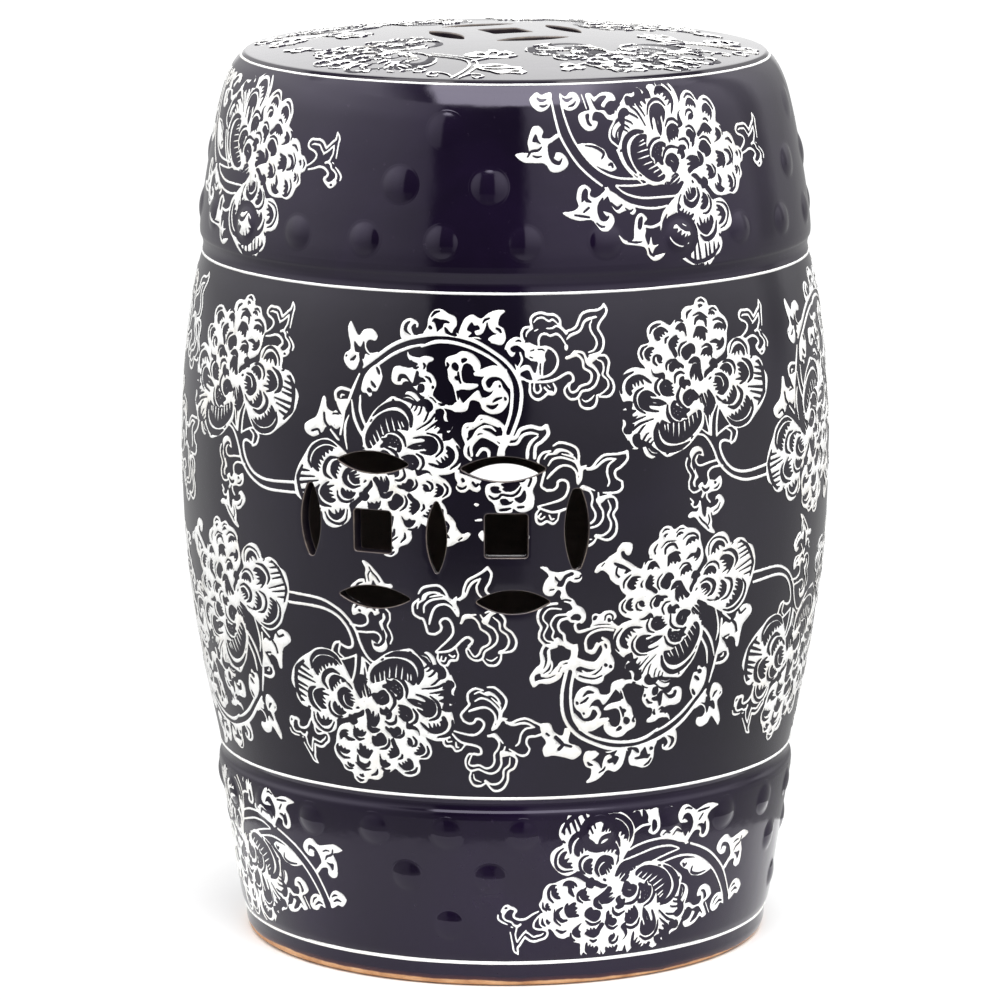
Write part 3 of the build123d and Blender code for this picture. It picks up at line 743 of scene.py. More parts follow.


# ------------------------------------------------------------ brush drawing
# Each motif is a list of marks, mm from the motif's own origin:
# W and D are filled shapes (white, bare), w and d are strokes with widths.

PEONY = [
    ("W", [(5.7, 41), (8.9, 39.2), (9.9, 36.5), (14.6, 35.9), (16.6, 32.8), (20, 29.9), (21.3, 26.3), (20, 23), (19.3, 18.7), (17.5, 14.2), (14.4, 11.8), (11.4, 10.5), (7.9, 7.1), (7.1, -2.2), (-2.4, -7), (-14.1, -11.8), (-24.2, -8.6), (-35.2, -4.3), (-30.4, 6.9), (-31.5, 10.4), (-33.9, 13.2), (-34.9, 17.3), (-32.9, 20.7), (-28.3, 21.9), (-29, 24.9), (-28.7, 28.5), (-25.5, 31.1), (-20.8, 31.8), (-16.6, 29.7), (-15.1, 29.2), (-12, 31.7), (-8.6, 32), (-7.9, 34.8), (-4.9, 37.1), (0, 37.6), (1.8, 39.9)], None),
    ("W", [(18, 10.7), (19.3, 15.7), (22.3, 18.4), (26.4, 19.5), (30.9, 19.3), (34.3, 17.1), (35.5, 13.5), (35.4, 9.6), (40.5, 8.8), (44.1, 5.7), (45, 2.2), (47.6, -1.6), (47.1, -6.4), (45.4, -10.4), (41.6, -15.1), (35.5, -19.8), (30.7, -23.3), (25.4, -24.4), (20.3, -23.8), (17.3, -21.6), (14.4, -18.3), (12.3, -15), (8.7, -9.9), (2.2, -5.2), (4.6, 4.5), (11.2, 8.5)], None),
    ("W", [(-30.9, 9.5), (-37.2, 10.7), (-41.8, 8.9), (-44.5, 5.4), (-45.6, 0.9), (-44.5, -3.2), (-43.5, -5.5), (-41.6, -5.1), (-38.4, -6.1), (-44.3, -9.5), (-45.5, -11.8), (-43.8, -14.8), (-44.6, -18.8), (-43, -21.8), (-41.8, -24), (-39.8, -27.9), (-37.1, -28.7), (-34.4, -27.7), (-32.5, -31.8), (-28.6, -33.8), (-24.8, -31.4), (-20.7, -33.8), (-15.4, -32.3), (-9.1, -29.8), (-3.2, -24.8), (0.6, -20.8), (1.6, -15.6), (3.2, -13.5), (-0.8, -4.9), (-7.5, 2.7), (-18.5, 6.6), (-25.3, 7.1)], None),
    ("d", [(3.2, 38.9), (5.3, 39.4), (7.4, 38.2)], [0.43, 1.04, 0.43]),
    ("D", [(2.9, 37.2), (4.5, 37.5), (5.8, 36.9), (5.4, 36.3), (4.2, 36.3), (3.6, 35.5), (3.3, 36.4)], None),
    ("d", [(-5.1, 31.6), (-4.4, 33.8), (-1.6, 35.4)], [0.49, 1.04, 0.49]),
    ("d", [(9.6, 34.3), (12.3, 34.8), (14.6, 33.5)], [0.37, 0.79, 0.37]),
    ("D", [(8.8, 32.7), (10.1, 33.6), (12, 33.6), (13.1, 32.3), (12.7, 31.5), (11.6, 32.3), (10.9, 31.7), (10.4, 32.6), (9.5, 32.1)], None),
    ("d", [(-1.1, 32.4), (3.3, 33.3), (8, 30.7)], [0.37, 0.85, 0.37]),
    ("d", [(-0.5, 28.5), (0.7, 30.6), (3.4, 31.2), (6.1, 30), (6.6, 26.8)], [0.73, 1.22, 1.47, 1.34, 0.61]),
    ("w", [(2.9, 28.7), (2.7, 30.6)], [0.55, 0.24]),
    ("w", [(4.6, 28.5), (5, 29.9)], [0.49, 0.24]),
    ("w", [(1.3, 28.6), (1.6, 29.6)], [0.49, 0.24]),
    ("d", [(11.5, 29.2), (15, 29.6), (18.1, 28), (19.4, 25.3), (18.5, 23.3)], [0.49, 0.92, 1.04, 0.85, 0.37]),
    ("D", [(11.2, 25.4), (12.8, 27.2), (15.7, 27.6), (18.3, 26), (19, 23.9), (17.4, 24.9), (16.8, 23.8), (15.3, 25.4), (14.3, 24.4), (13.5, 25.5), (12.6, 25.1)], None),
    ("d", [(-27.3, 26.1), (-26.1, 28.4), (-23.6, 29.6), (-20.8, 30.1)], [0.55, 1.04, 1.04, 0.43]),
    ("D", [(-24.7, 23.6), (-25.3, 26.3), (-23.6, 28), (-20.6, 28.7), (-17.7, 27.1), (-17, 25.7), (-19.4, 26.6), (-18.9, 24.8), (-20.8, 25.6), (-20.4, 24), (-22.2, 24.5), (-21.6, 22.8), (-22.7, 22.3), (-23.6, 22.6)], None),
    ("d", [(-12.2, 30.4), (-10.3, 31.5), (-7.5, 30.3)], [0.49, 1.22, 0.49]),
    ("D", [(-12.5, 27.4), (-10.9, 29), (-8.6, 29.7), (-6.6, 28.2), (-6.3, 23), (-7.2, 25.3), (-8.7, 26.1), (-9.8, 25.5), (-10.5, 26.6), (-11.7, 26.8)], None),
    ("D", [(-2.4, 22.4), (-0.8, 25.3), (0.7, 27.1), (4.7, 26.7), (6.8, 24.9), (6.9, 23.3), (5.7, 24), (5.5, 20.5), (4.1, 20.2), (3.5, 21.4), (1.8, 20.7), (1.5, 22.8), (0.3, 21.8), (0, 23.1), (-1.3, 22.1)], None),
    ("d", [(-18.9, 21.1), (-18.6, 22.7), (-16.8, 23.8)], [0.73, 0.92, 0.43]),
    ("D", [(-16.9, 18.5), (-17.2, 20.9), (-15.5, 22.8), (-12.2, 24.3), (-11.7, 22.9), (-10.6, 22.2), (-12.3, 21.5), (-11.3, 20.4), (-13, 20.3), (-12.3, 18.9), (-13.9, 18.7), (-13.3, 17.1), (-12.5, 14.5), (-14.1, 13.7), (-15.6, 16.7)], None),
    ("D", [(7.9, 19), (11.7, 20.2), (14.6, 18.9), (16.6, 20.6), (17.5, 18.3), (16.2, 16), (13.7, 14.9), (11.7, 15.3), (13.9, 16.1), (12, 16.8), (13, 17.8), (10.8, 18.4)], None),
    ("d", [(-11.4, 14.2), (-11.4, 17), (-9.7, 19.4), (-6.5, 20.6)], [0.49, 0.92, 0.92, 0.43]),
    ("D", [(-10.1, 15), (-9.6, 17.2), (-7.1, 18.7), (-4, 19.6), (-2, 18), (-1.9, 14.8), (-3.9, 14.6), (-4.9, 13.2), (-7.1, 11.9), (-8.6, 12.7)], None),
    ("d", [(2.6, 17.1), (5.6, 18.1), (8.3, 16.7), (8.9, 13.8)], [0.43, 0.92, 0.79, 0.43]),
    ("D", [(1.4, 13.1), (2.9, 15.7), (5.4, 16.6), (8.1, 15.8), (8.6, 11.5), (7.4, 13), (6.4, 12.4), (5.1, 13.7), (3.6, 12.6), (3.1, 13.9)], None),
    ("d", [(-32.1, 14.2), (-33, 16.9), (-31.8, 19.2), (-29.2, 20.4)], [0.55, 0.92, 0.92, 0.43]),
    ("D", [(-28.6, 13), (-30.6, 14.9), (-31.1, 17.1), (-29.5, 19), (-27.1, 19.6), (-25.3, 18.7), (-27.5, 17.7), (-26.4, 17), (-28.3, 16.4), (-27.1, 15.4), (-28.8, 15.2), (-28.1, 14)], None),
    ("d", [(-24.4, 10.6), (-26.1, 12.4), (-25.9, 14.6), (-24.2, 15.8)], [0.49, 0.92, 0.92, 0.49]),
    ("D", [(-23.5, 15.7), (-21.9, 15), (-21.4, 13.2), (-22.2, 12.4), (-21.3, 11.7), (-23, 11.7), (-24, 12.8), (-24.3, 14.5)], None),
    ("d", [(-19.3, 8.2), (-19.1, 10.7), (-17.1, 12.3), (-14, 12.9)], [0.49, 0.92, 0.92, 0.43]),
    ("D", [(-17.5, 7.8), (-17.8, 10), (-15.6, 11.6), (-13.5, 12.7), (-12.3, 11.4), (-9.7, 9.7), (-9.4, 8.1), (-11.6, 8.9), (-12.1, 8), (-13.8, 8.5), (-15.7, 7)], None),
    ("D", [(-6.4, 10.4), (-4.6, 12.3), (-1.8, 13), (0.7, 11.4), (0.9, 8.8), (1.2, 4.8), (2, 2), (0.3, 1.1), (-0.8, 2), (-1.5, 4.5), (-2, 2.1), (-3, 2), (-3.3, 4.7), (-4.3, 2.6), (-5.4, 2.4), (-6, 5.5), (-4.7, 8.3), (-4.1, 9.9)], None),
    ("w", [(-3.2, 2.2), (-3.2, 5.3)], [0.55, 0.31]),
    ("w", [(-4.6, 2.4), (-4.1, 4.8)], [0.61, 0.31]),
    ("w", [(-4.2, 9.5), (-2.6, 10.1), (-0.9, 9.6)], [0.37, 0.55, 0.31]),
    ("D", [(6.4, 9.4), (9.1, 11.2), (11.5, 9.6), (11.5, 6.6), (9.4, 6.3), (8.2, 5.2), (5.8, 4.3), (3, 2.2), (3.1, 5), (5.7, 6.7), (7, 7.8)], None),
    ("D", [(11.3, 9.9), (15.6, 11.4), (18.6, 11.8), (18.1, 10.3), (14.5, 9.3), (12.1, 8.3)], None),
    ("d", [(-44.2, -1.3), (-44.6, 2.6), (-42.4, 6.4), (-37.5, 8.5)], [0.61, 1.16, 1.28, 0.55]),
    ("D", [(-40, -2.6), (-42, 0.4), (-41.3, 4), (-37.9, 6.5), (-33.8, 6.9), (-30.1, 4.9), (-27.8, 2.4), (-30, 3.2), (-32.8, 4.9), (-32.2, 1.9), (-34.5, 4.6), (-34.9, 1.5), (-36.5, 4.1), (-36.7, 1.4), (-38.2, 3.3), (-38.5, 1.2), (-37.8, 0.6), (-39.1, -0.4), (-38.7, -1.9)], None),
    ("d", [(-32.6, 0.6), (-36.2, -1.3), (-37.4, -4.8), (-36, -8.9), (-32, -11.7)], [0.55, 0.98, 1.16, 0.98, 0.43]),
    ("D", [(-35, -7.9), (-35.6, -4.4), (-33.7, -1.5), (-30.4, -0.8), (-27.2, -2.5), (-25.7, -4.2), (-29, -3.5), (-28.3, -4.8), (-24, -5.6), (-20.5, -7.6), (-20.8, -8.2), (-24.2, -8.7), (-29.1, -8.1), (-30, -8.9), (-28.4, -10.1), (-24.8, -11), (-25.1, -11.6), (-29.2, -11.1), (-32.8, -9.9)], None),
    ("w", [(-27.7, -6.8), (-25.7, -7.2)], [0.49, 0.43]),
    ("d", [(-23.7, -3.6), (-25.9, -0.9), (-25.3, 2.5), (-22.4, 4.7)], [0.55, 1.04, 1.04, 0.55]),
    ("D", [(-23.1, -2.4), (-23.8, 0.6), (-22.2, 2.8), (-19.4, 3.5), (-17.3, 2), (-16.1, 1.3), (-17.3, 0.5), (-15.8, -0.8), (-17.4, -1.2), (-15.9, -2.3), (-17.1, -2.8), (-15.6, -4.2), (-19.2, -4.5), (-21.9, -3.7)], None),
    ("w", [(-20.8, 0.6), (-20, 0.3)], [0.43, 0.43]),
    ("D", [(-27.9, 9.5), (-26.9, 7.2), (-24.5, 6.7), (-20.9, 6.8), (-20.7, 3.5), (-22.4, 4.5), (-25.5, 5.3), (-27.2, 6.7)], None),
    ("d", [(-15, 1.5), (-14.5, 5), (-11.6, 6.4), (-9.2, 5.5)], [0.55, 1.04, 0.98, 0.49]),
    ("D", [(-12.6, 1.1), (-11.9, 3.6), (-9.7, 4.3), (-9.4, 2.6), (-6.4, 2.1), (-6, -0.9), (-7.6, -0.1), (-8.8, -0.6), (-9.3, -2), (-11.2, -0.6), (-12.1, 0.1)], None),
    ("w", [(-10.9, 1.7), (-10.1, 1.2)], [0.37, 0.37]),
    ("d", [(-9.2, -11.3), (-12.8, -8.5), (-13.9, -4.8), (-11.9, -0.7)], [0.49, 1.16, 1.16, 0.67]),
    ("D", [(-8.3, -10.1), (-10.4, -8.1), (-10.7, -5.1), (-8.7, -3), (-5.6, -2.2), (-3.5, -3.4), (-1.3, -6.1), (-2.3, -7.6), (-4.5, -8), (-5.5, -9.2), (-6.9, -10)], None),
    ("w", [(-7.5, -6.8), (-5.8, -5.1)], [0.61, 0.31]),
    ("d", [(-19.8, -8.7), (-19.8, -13), (-17.1, -16.9), (-12.8, -18.1), (-10.1, -16.6)], [0.55, 1.16, 1.28, 1.1, 0.43]),
    ("D", [(-17.9, -12.2), (-17.9, -9.1), (-16, -6.8), (-14.5, -7.7), (-15.2, -9.1), (-13.3, -9.9), (-11.8, -11.1), (-9.4, -11.3), (-7.2, -11.5), (-7.1, -12.6), (-9.3, -14), (-8.6, -15.8), (-11.5, -15.5), (-12.9, -16.7), (-15.6, -15.5), (-17.4, -13.8)], None),
    ("w", [(-16.4, -10.7), (-15.9, -10.9)], [0.49, 0.49]),
    ("w", [(-15.1, -11.9), (-14.6, -12.2)], [0.49, 0.49]),
    ("w", [(-12.7, -12.4), (-12.3, -12.7)], [0.49, 0.49]),
    ("w", [(-14.3, -13.8), (-13.9, -14)], [0.49, 0.49]),
    ("w", [(-16.4, -12.8), (-15.9, -13)], [0.49, 0.49]),
    ("D", [(-44.2, -13.4), (-45.2, -11.5), (-43.7, -9.6), (-41.6, -9.7), (-42.5, -7.5), (-41.9, -5.6), (-39.7, -5.4), (-38.7, -7), (-39.2, -9.3), (-36.7, -10), (-38.9, -11.6), (-38.5, -12.9), (-36, -12.6), (-39, -14.8), (-39.1, -16.4), (-37.9, -16.5), (-39, -18.6), (-39.9, -20.9), (-42.7, -20.8), (-43.7, -18.9), (-42.3, -16.6), (-42.5, -14.4)], None),
    ("d", [(-38.8, -15.2), (-35.5, -14.1), (-31.7, -13)], [0.85, 0.73, 0.31]),
    ("d", [(-38.7, -19.1), (-34.9, -16.5), (-27.6, -14.6)], [0.73, 0.85, 0.37]),
    ("d", [(-36.3, -21.5), (-33.7, -18.4), (-32, -17.2)], [0.73, 0.73, 0.31]),
    ("D", [(-38.8, -22.2), (-37, -21.1), (-35.2, -21.8), (-35, -24.1), (-32.4, -25.4), (-32.2, -27.3), (-35.2, -28), (-37.7, -26.9), (-39.1, -24.4)], None),
    ("d", [(-33.4, -24.2), (-31.7, -22), (-30.3, -21.2)], [0.73, 0.61, 0.31]),
    ("d", [(-31.5, -25.7), (-30.2, -24.3), (-29.1, -23.7)], [0.73, 0.61, 0.31]),
    ("d", [(-29.6, -26.9), (-28.8, -25.9), (-28, -25.2)], [0.61, 0.61, 0.31]),
    ("D", [(-32.1, -26.8), (-30.3, -26.2), (-28.6, -28.1), (-26.1, -30), (-24.5, -31.5), (-26.8, -32.6), (-29.3, -31.7), (-31.2, -29.2)], None),
    ("w", [(-30.9, -28.6), (-28.7, -30.8), (-25.7, -31.4)], [0.49, 0.61, 0.37]),
    ("d", [(-41.2, -24.3), (-40.1, -26.7), (-38.9, -27.7)], [0.37, 0.55, 0.37]),
    ("D", [(-21.2, -31.7), (-20.3, -31.4), (-19.9, -32.1), (-20.5, -32.5)], None),
    ("d", [(-25.4, -17.1), (-26.6, -21.2), (-25.9, -25.4), (-23.3, -28.7), (-18.8, -30.2), (-13, -29.6), (-7.9, -27.5)], [0.98, 1.83, 2.14, 2.26, 2.14, 1.71, 0.55]),
    ("d", [(-6.7, -26), (-5.7, -25.2)], [0.55, 0.49]),
    ("D", [(-23.5, -15.8), (-24.6, -19.7), (-23.6, -23.4), (-20.9, -26.2), (-17.3, -27.4), (-13.2, -27.4), (-9, -26.1), (-4.5, -23.1), (-1.4, -19.9), (-0.1, -16.6), (-0.4, -13.6), (-1.8, -12.7), (-3.6, -13.5), (-6.5, -14.8), (-10.1, -17.1), (-14.3, -17.6), (-18.5, -17.7), (-21.4, -16.5)], None),
    ("w", [(-21.7, -18.1), (-21.5, -19.7), (-21.3, -21.2)], [0.79, 0.73, 0.31]),
    ("w", [(-20, -17.8), (-19.8, -20), (-19.7, -22.2)], [0.79, 0.73, 0.31]),
    ("w", [(-16.7, -17.6), (-16.9, -21.1), (-17, -24.6)], [0.79, 0.73, 0.31]),
    ("w", [(-13.7, -17.9), (-13.8, -21.5), (-14, -25)], [0.79, 0.73, 0.31]),
    ("w", [(-10.4, -17.4), (-10.4, -20.3), (-10.3, -23.1)], [0.79, 0.73, 0.31]),
    ("w", [(-7.9, -15.9), (-7.7, -18.4), (-7.4, -21)], [0.79, 0.73, 0.31]),
    ("w", [(-5.7, -14.9), (-5.4, -17), (-5, -19.2)], [0.79, 0.73, 0.31]),
    ("w", [(-3.2, -13.2), (-2.8, -15.1), (-2.5, -17.1)], [0.79, 0.73, 0.31]),
    ("d", [(33.3, 10.5), (32.6, 14.3), (29.6, 17.3), (26.2, 18.3), (22.8, 16.9), (20.4, 12.6)], [0.43, 0.85, 0.92, 0.92, 0.73, 0.43]),
    ("D", [(22.6, 13.6), (24.7, 15.4), (27.9, 16.1), (30.4, 14.5), (31.5, 12.1), (30.8, 9.9), (29.3, 12.2), (27.8, 13.1), (27.1, 10.7), (25.9, 13.1), (24.1, 10.8), (23.7, 12.4), (21.8, 11.8)], None),
    ("d", [(15.1, 8.5), (18.6, 9.1), (21.9, 7.7), (23.3, 4.8), (22.7, 2.3)], [0.37, 0.92, 1.04, 0.85, 0.43]),
    ("D", [(13, 5.8), (15.2, 7.5), (18.1, 7.8), (20.5, 6), (21.1, 3.3), (19.7, 1.6), (18.5, 3), (18, 4.3), (17.2, 3.1), (16.2, 4.8), (15.3, 3.9), (14.6, 5.2)], None),
    ("d", [(28.9, 9), (33.4, 6.5), (35.3, 2.8), (34.8, -0.8), (31.8, -3)], [0.49, 1.53, 1.89, 1.65, 0.49]),
    ("D", [(25, 6.4), (28, 7.3), (31.3, 5.1), (33.2, 1.3), (31.4, -1.5), (27.6, -3.2), (25.6, -2.9), (28, -1.6), (23.2, -0.6), (27.3, 0.3), (25.4, 2.2), (28.4, 1.9), (25.3, 4.2), (27.8, 4.3)], None),
    ("d", [(41.2, 6.5), (43.8, 1.7), (44.4, -2.5), (44.3, -6.6), (43.4, -10), (39.1, -14.4)], [0.73, 1.47, 1.53, 1.28, 1.59, 0.85]),
    ("d", [(36.5, 8.8), (35.3, 8.3)], [0.85, 0.43]),
    ("d", [(41.9, 5.4), (40.6, 5.9), (39.2, 6.3)], [1.04, 0.85, 0.43]),
    ("d", [(43, 2.4), (40.4, 3.1), (37.9, 3.7)], [1.04, 0.85, 0.43]),
    ("d", [(43.6, -0.6), (40.3, 0.1), (37.1, 0.8)], [1.04, 0.85, 0.43]),
    ("d", [(43.9, -2.9), (40.3, -2.3), (36.8, -1.7)], [1.04, 0.85, 0.43]),
    ("d", [(44.2, -6.9), (37.9, -6), (31.9, -5.1)], [1.04, 0.85, 0.43]),
    ("d", [(43.6, -10.2), (38.4, -8.8), (33.4, -7.4)], [1.04, 0.85, 0.43]),
    ("d", [(40.6, -12.7), (38.1, -11.8), (35.6, -10.9)], [1.04, 0.85, 0.43]),
    ("d", [(9.7, 3.3), (13.8, 2.8), (16.4, -0.3), (16.5, -3.2), (13.9, -5.6), (10.8, -5.6)], [0.49, 1.28, 1.89, 2.14, 1.89, 0.67]),
    ("D", [(9.1, 1), (9.8, 2.1), (12.9, 1.3), (14.2, -1.8), (13.2, -4.1), (10, -4.3), (9.3, -3.3), (12.5, -2.8), (7.7, -2), (12, -1.5), (7.8, -0.4), (11.8, -0.3), (9.1, 0.2)], None),
    ("d", [(23.9, -3.9), (26.8, -7.3), (25.6, -11.3), (21.5, -13.9), (17.1, -13)], [0.49, 1.4, 1.65, 1.4, 0.49]),
    ("D", [(13.2, -10.4), (15.5, -9.3), (16.2, -10.8), (17.4, -9.9), (16.6, -7.9), (18.8, -9), (18.2, -6.4), (20.2, -7.9), (19.2, -5.1), (20.9, -6.1), (20.7, -3.5), (22, -3.8), (23.4, -6.9), (22.6, -9.9), (20, -11.9), (15.8, -11.7)], None),
    ("d", [(9.7, -7.1), (11.2, -8.7), (13.2, -10)], [0.43, 0.73, 0.43]),
    ("d", [(33.8, -12.1), (34.2, -16.5), (30.6, -20.8), (24.4, -22.5), (19.4, -21.2), (16.1, -18.3)], [0.55, 1.16, 1.53, 1.65, 1.34, 0.49]),
    ("D", [(17, -17.3), (19.5, -19.5), (23.6, -20.5), (28.9, -19.5), (32.4, -16.3), (33.2, -12.8), (30.7, -9.4), (29.6, -10), (30.9, -12.5), (28.6, -10.5), (29.9, -13.7), (27.7, -12), (28, -14.9), (25.6, -13.5), (26.1, -16.8), (24.3, -15.1), (23.5, -17.6), (21.7, -16.1), (21.2, -18.2), (19.3, -16.7), (18.4, -18.1)], None),
    ("D", [(-0.8, -6), (1.5, -4.5), (3.1, -5.4), (4.6, -3.4), (6.2, -5), (8.3, -8.1), (8.5, -11.1), (7.1, -13.9), (5.1, -15.5), (3.2, -15.2), (1, -13.3), (2, -11), (-0.3, -9)], None),
    ("w", [(1.1, -4.2), (2.2, -7.5), (3.4, -11.8)], [0.79, 0.67, 0.31]),
    ("w", [(3.2, -4.5), (4.3, -7.7)], [0.73, 0.37]),
    ("w", [(0, -6.6), (1.3, -12.7)], [0.49, 0.31]),
    ("w", [(-0.6, -12.5), (1, -13.2), (2.9, -13.2)], [0.73, 0.49, 0.37]),
    ("W", [(-5.6, 1.2), (-3.1, 1.1), (-1.7, 1.9), (-1.1, 0.4), (0.3, 1), (1.9, 0.7), (4.3, 2.2), (7.6, 4.2), (9.1, 3.5), (5.8, 1.5), (8.5, 1.1), (5.3, -0.1), (8, -0.6), (6, -1.5), (8.6, -2.3), (4.7, -2.3), (2.4, -3.4), (1.4, -5.7), (0.6, -3.3), (-1.3, -3), (-2.9, -4.1), (-3.4, -2.2), (-5.9, -2.6), (-4.5, -1), (-6.6, -0.8), (-4.4, -0.1)], None),
    ("D", [(5.4, 1.8), (6.5, 2.4), (7.4, 2.2), (6.7, 1.5), (5.9, 1.3)], None),
]
STEM = [
    ("w", [(8.8, -11.6), (6.3, -15.5), (5.3, -20.1), (5.1, -25.7)], [1.22, 1.34, 1.22, 1.1]),
    ("w", [(10.8, -12), (9.5, -15.9), (8.7, -20.5), (8.5, -26.3)], [1.22, 1.22, 1.22, 1.34]),
    ("w", [(5.1, -25.7), (2.4, -24.3), (-0.3, -22.4)], [1.22, 1.1, 0.73]),
    ("w", [(4.4, -15.9), (4.4, -24.8)], [0.85, 0.85]),
    ("w", [(4.4, -25.3), (3, -20.5), (2, -16)], [1.22, 0.98, 0.85]),
    ("w", [(8.5, -26.2), (12.8, -24), (17, -22.5), (21.8, -23.8)], [0.98, 1.1, 1.1, 0.98]),
    ("w", [(19.3, -23.3), (21.9, -25.5), (20.6, -29.6), (17.8, -31.1)], [1.1, 1.22, 1.47, 1.22]),
    ("w", [(15.2, -23.6), (18.1, -25.7), (17.6, -29.2)], [0.98, 1.1, 1.34]),
    ("w", [(17.6, -30.3), (13.5, -29.1), (10.7, -30.3), (11.1, -34.4), (14.5, -40), (20.5, -44.3), (30, -45.8), (48.2, -44)], [1.22, 1.47, 1.47, 1.59, 1.59, 1.59, 1.47, 1.47]),
    ("w", [(-3.6, -24.4), (0.6, -25.4), (4.2, -29), (7, -33.9), (9, -38.4), (13.2, -43.3), (19.7, -47.5), (30, -50.1), (49.4, -48.9)], [0.85, 1.22, 1.47, 1.47, 1.59, 1.59, 1.59, 1.47, 1.34]),
]
LEAF = [
    ("W", [(-8, -34.2), (-7.5, -32.3), (-5.6, -30.6), (-3, -30.2), (-0.8, -31.3), (0.2, -33.4), (0.5, -35.5), (-1, -35.1), (-2.8, -34.4), (-3.8, -35.4), (-4.7, -37.6), (-5, -39.5), (-4.3, -42), (-2.9, -45.1), (-4.6, -47), (-4.6, -49.8), (-5.7, -49.5), (-6.2, -47.4), (-5, -44.7), (-6.2, -41.8), (-7.7, -39.6), (-7.2, -36.8)], None),
    ("D", [(-6, -40.7), (-6.6, -38.5), (-6.4, -35.9), (-4.9, -33.8), (-2.7, -32.8), (-1, -33.3), (-1.2, -34.2), (-2.8, -34), (-4.2, -35.1), (-4.9, -37), (-4.4, -39.1), (-5, -39.9), (-5.2, -41.9)], None),
    ("w", [(8.2, -38.2), (3.3, -38.8), (-1, -39.7), (-3.4, -39), (-4.4, -36.9), (-3.4, -34.8)], [1.09, 1.17, 1.09, 1.09, 1]),
    ("w", [(-9.3, -35.4), (-10.2, -38.1), (-9.4, -41), (-7.5, -44.1), (-8.5, -47.2), (-8.2, -50.5)], [0.92, 1, 1, 1, 1, 1.09]),
    ("w", [(-8.2, -50.5), (-5.8, -52.4), (-3, -52), (-0.3, -50.3)], [0.92, 1.09, 1.09, 0.92]),
    ("w", [(12.1, -41.2), (6.8, -41.2), (3.8, -42.5), (2.8, -44.5), (3.6, -47.8)], [1.17, 1.17, 1.17, 1.17]),
    ("W", [(1.8, -49.2), (3.1, -47.1), (5.2, -47.2), (7.4, -47.6), (9.6, -46.2), (11, -46.1), (11.7, -48.7), (10.9, -51.5), (8.3, -53), (5.2, -53.1), (3.1, -53.8), (1.8, -53.2), (1, -53.9), (-0.5, -55.8), (-1.3, -54.9), (-0.5, -52.6), (-3.1, -49.8), (-0.6, -47.8), (0.5, -49.3)], None),
    ("D", [(-0.8, -50.1), (0.4, -50.9), (1.4, -51.4), (2.5, -51.1), (3.7, -50.6), (3.5, -51.7), (2.2, -52.7), (0.5, -52.4), (-0.5, -51.4)], None),
    ("d", [(7.1, -48.7), (7.6, -49)], [0.84, 0.84]),
    ("d", [(9.9, -49.7), (8.8, -51.2), (6.7, -51.9)], [0.42, 0.75, 0.42]),
    ("w", [(2.2, -53.2), (2.3, -55.7), (4.1, -57.9)], [1.17, 1.17, 1.25]),
    ("W", [(3.4, -57.9), (5.1, -58.4), (7.2, -57.3), (7.8, -55.8), (9.9, -54.8), (12.1, -56), (13.3, -58.2), (12.7, -60.3), (10.7, -62.5), (8.5, -64.3), (5.9, -64.8), (5.3, -63.4), (4.2, -62.4), (3.2, -62.7), (2.1, -61.4), (2.6, -60.5), (4.1, -61), (7.2, -60.3), (9.1, -58.9), (9.2, -57.3), (8.2, -57), (6.2, -58.3), (4.4, -58.5)], None),
    ("d", [(10.5, -59), (9.2, -61.6), (6.7, -63)], [0.33, 0.67, 0.42]),
    ("w", [(-7.5, -55.3), (-5.9, -57), (-6.5, -58.3)], [1.09, 1.25, 1.09]),
    ("w", [(-6.9, -57.9), (-5.3, -59.6), (-3, -59.2), (-1.8, -57.1)], [1, 1.17, 1.17, 1.09]),
    ("W", [(-2.4, -57.6), (-1.6, -57), (-0.8, -60.2), (-0.4, -62.7), (1.4, -65), (2.1, -61.8), (2.4, -60.3), (4.4, -61), (5.1, -65), (5.8, -67.5), (5.8, -70), (7.8, -72.9), (7, -73.7), (4.4, -72.9), (2.1, -71.3), (-1.8, -67.9), (-4.9, -64.6), (-7.8, -64.8), (-8.8, -63.4), (-6.4, -61.2), (-3.9, -61.9), (-2.8, -60.4)], None),
    ("D", [(-7.4, -60.3), (-5.9, -60.6), (-3.9, -61), (-3.1, -60.5), (-3.1, -61.4), (-4.6, -61.7), (-6.4, -61.5), (-7.6, -61.9)], None),
    ("d", [(-2.1, -64.7), (-0.3, -66.8), (2.2, -68.8), (3.9, -71)], [0.5, 0.58, 0.5, 0.42]),
    ("d", [(3.3, -64), (4.1, -66.9), (3.5, -68.9)], [0.33, 0.5, 0.5]),
]
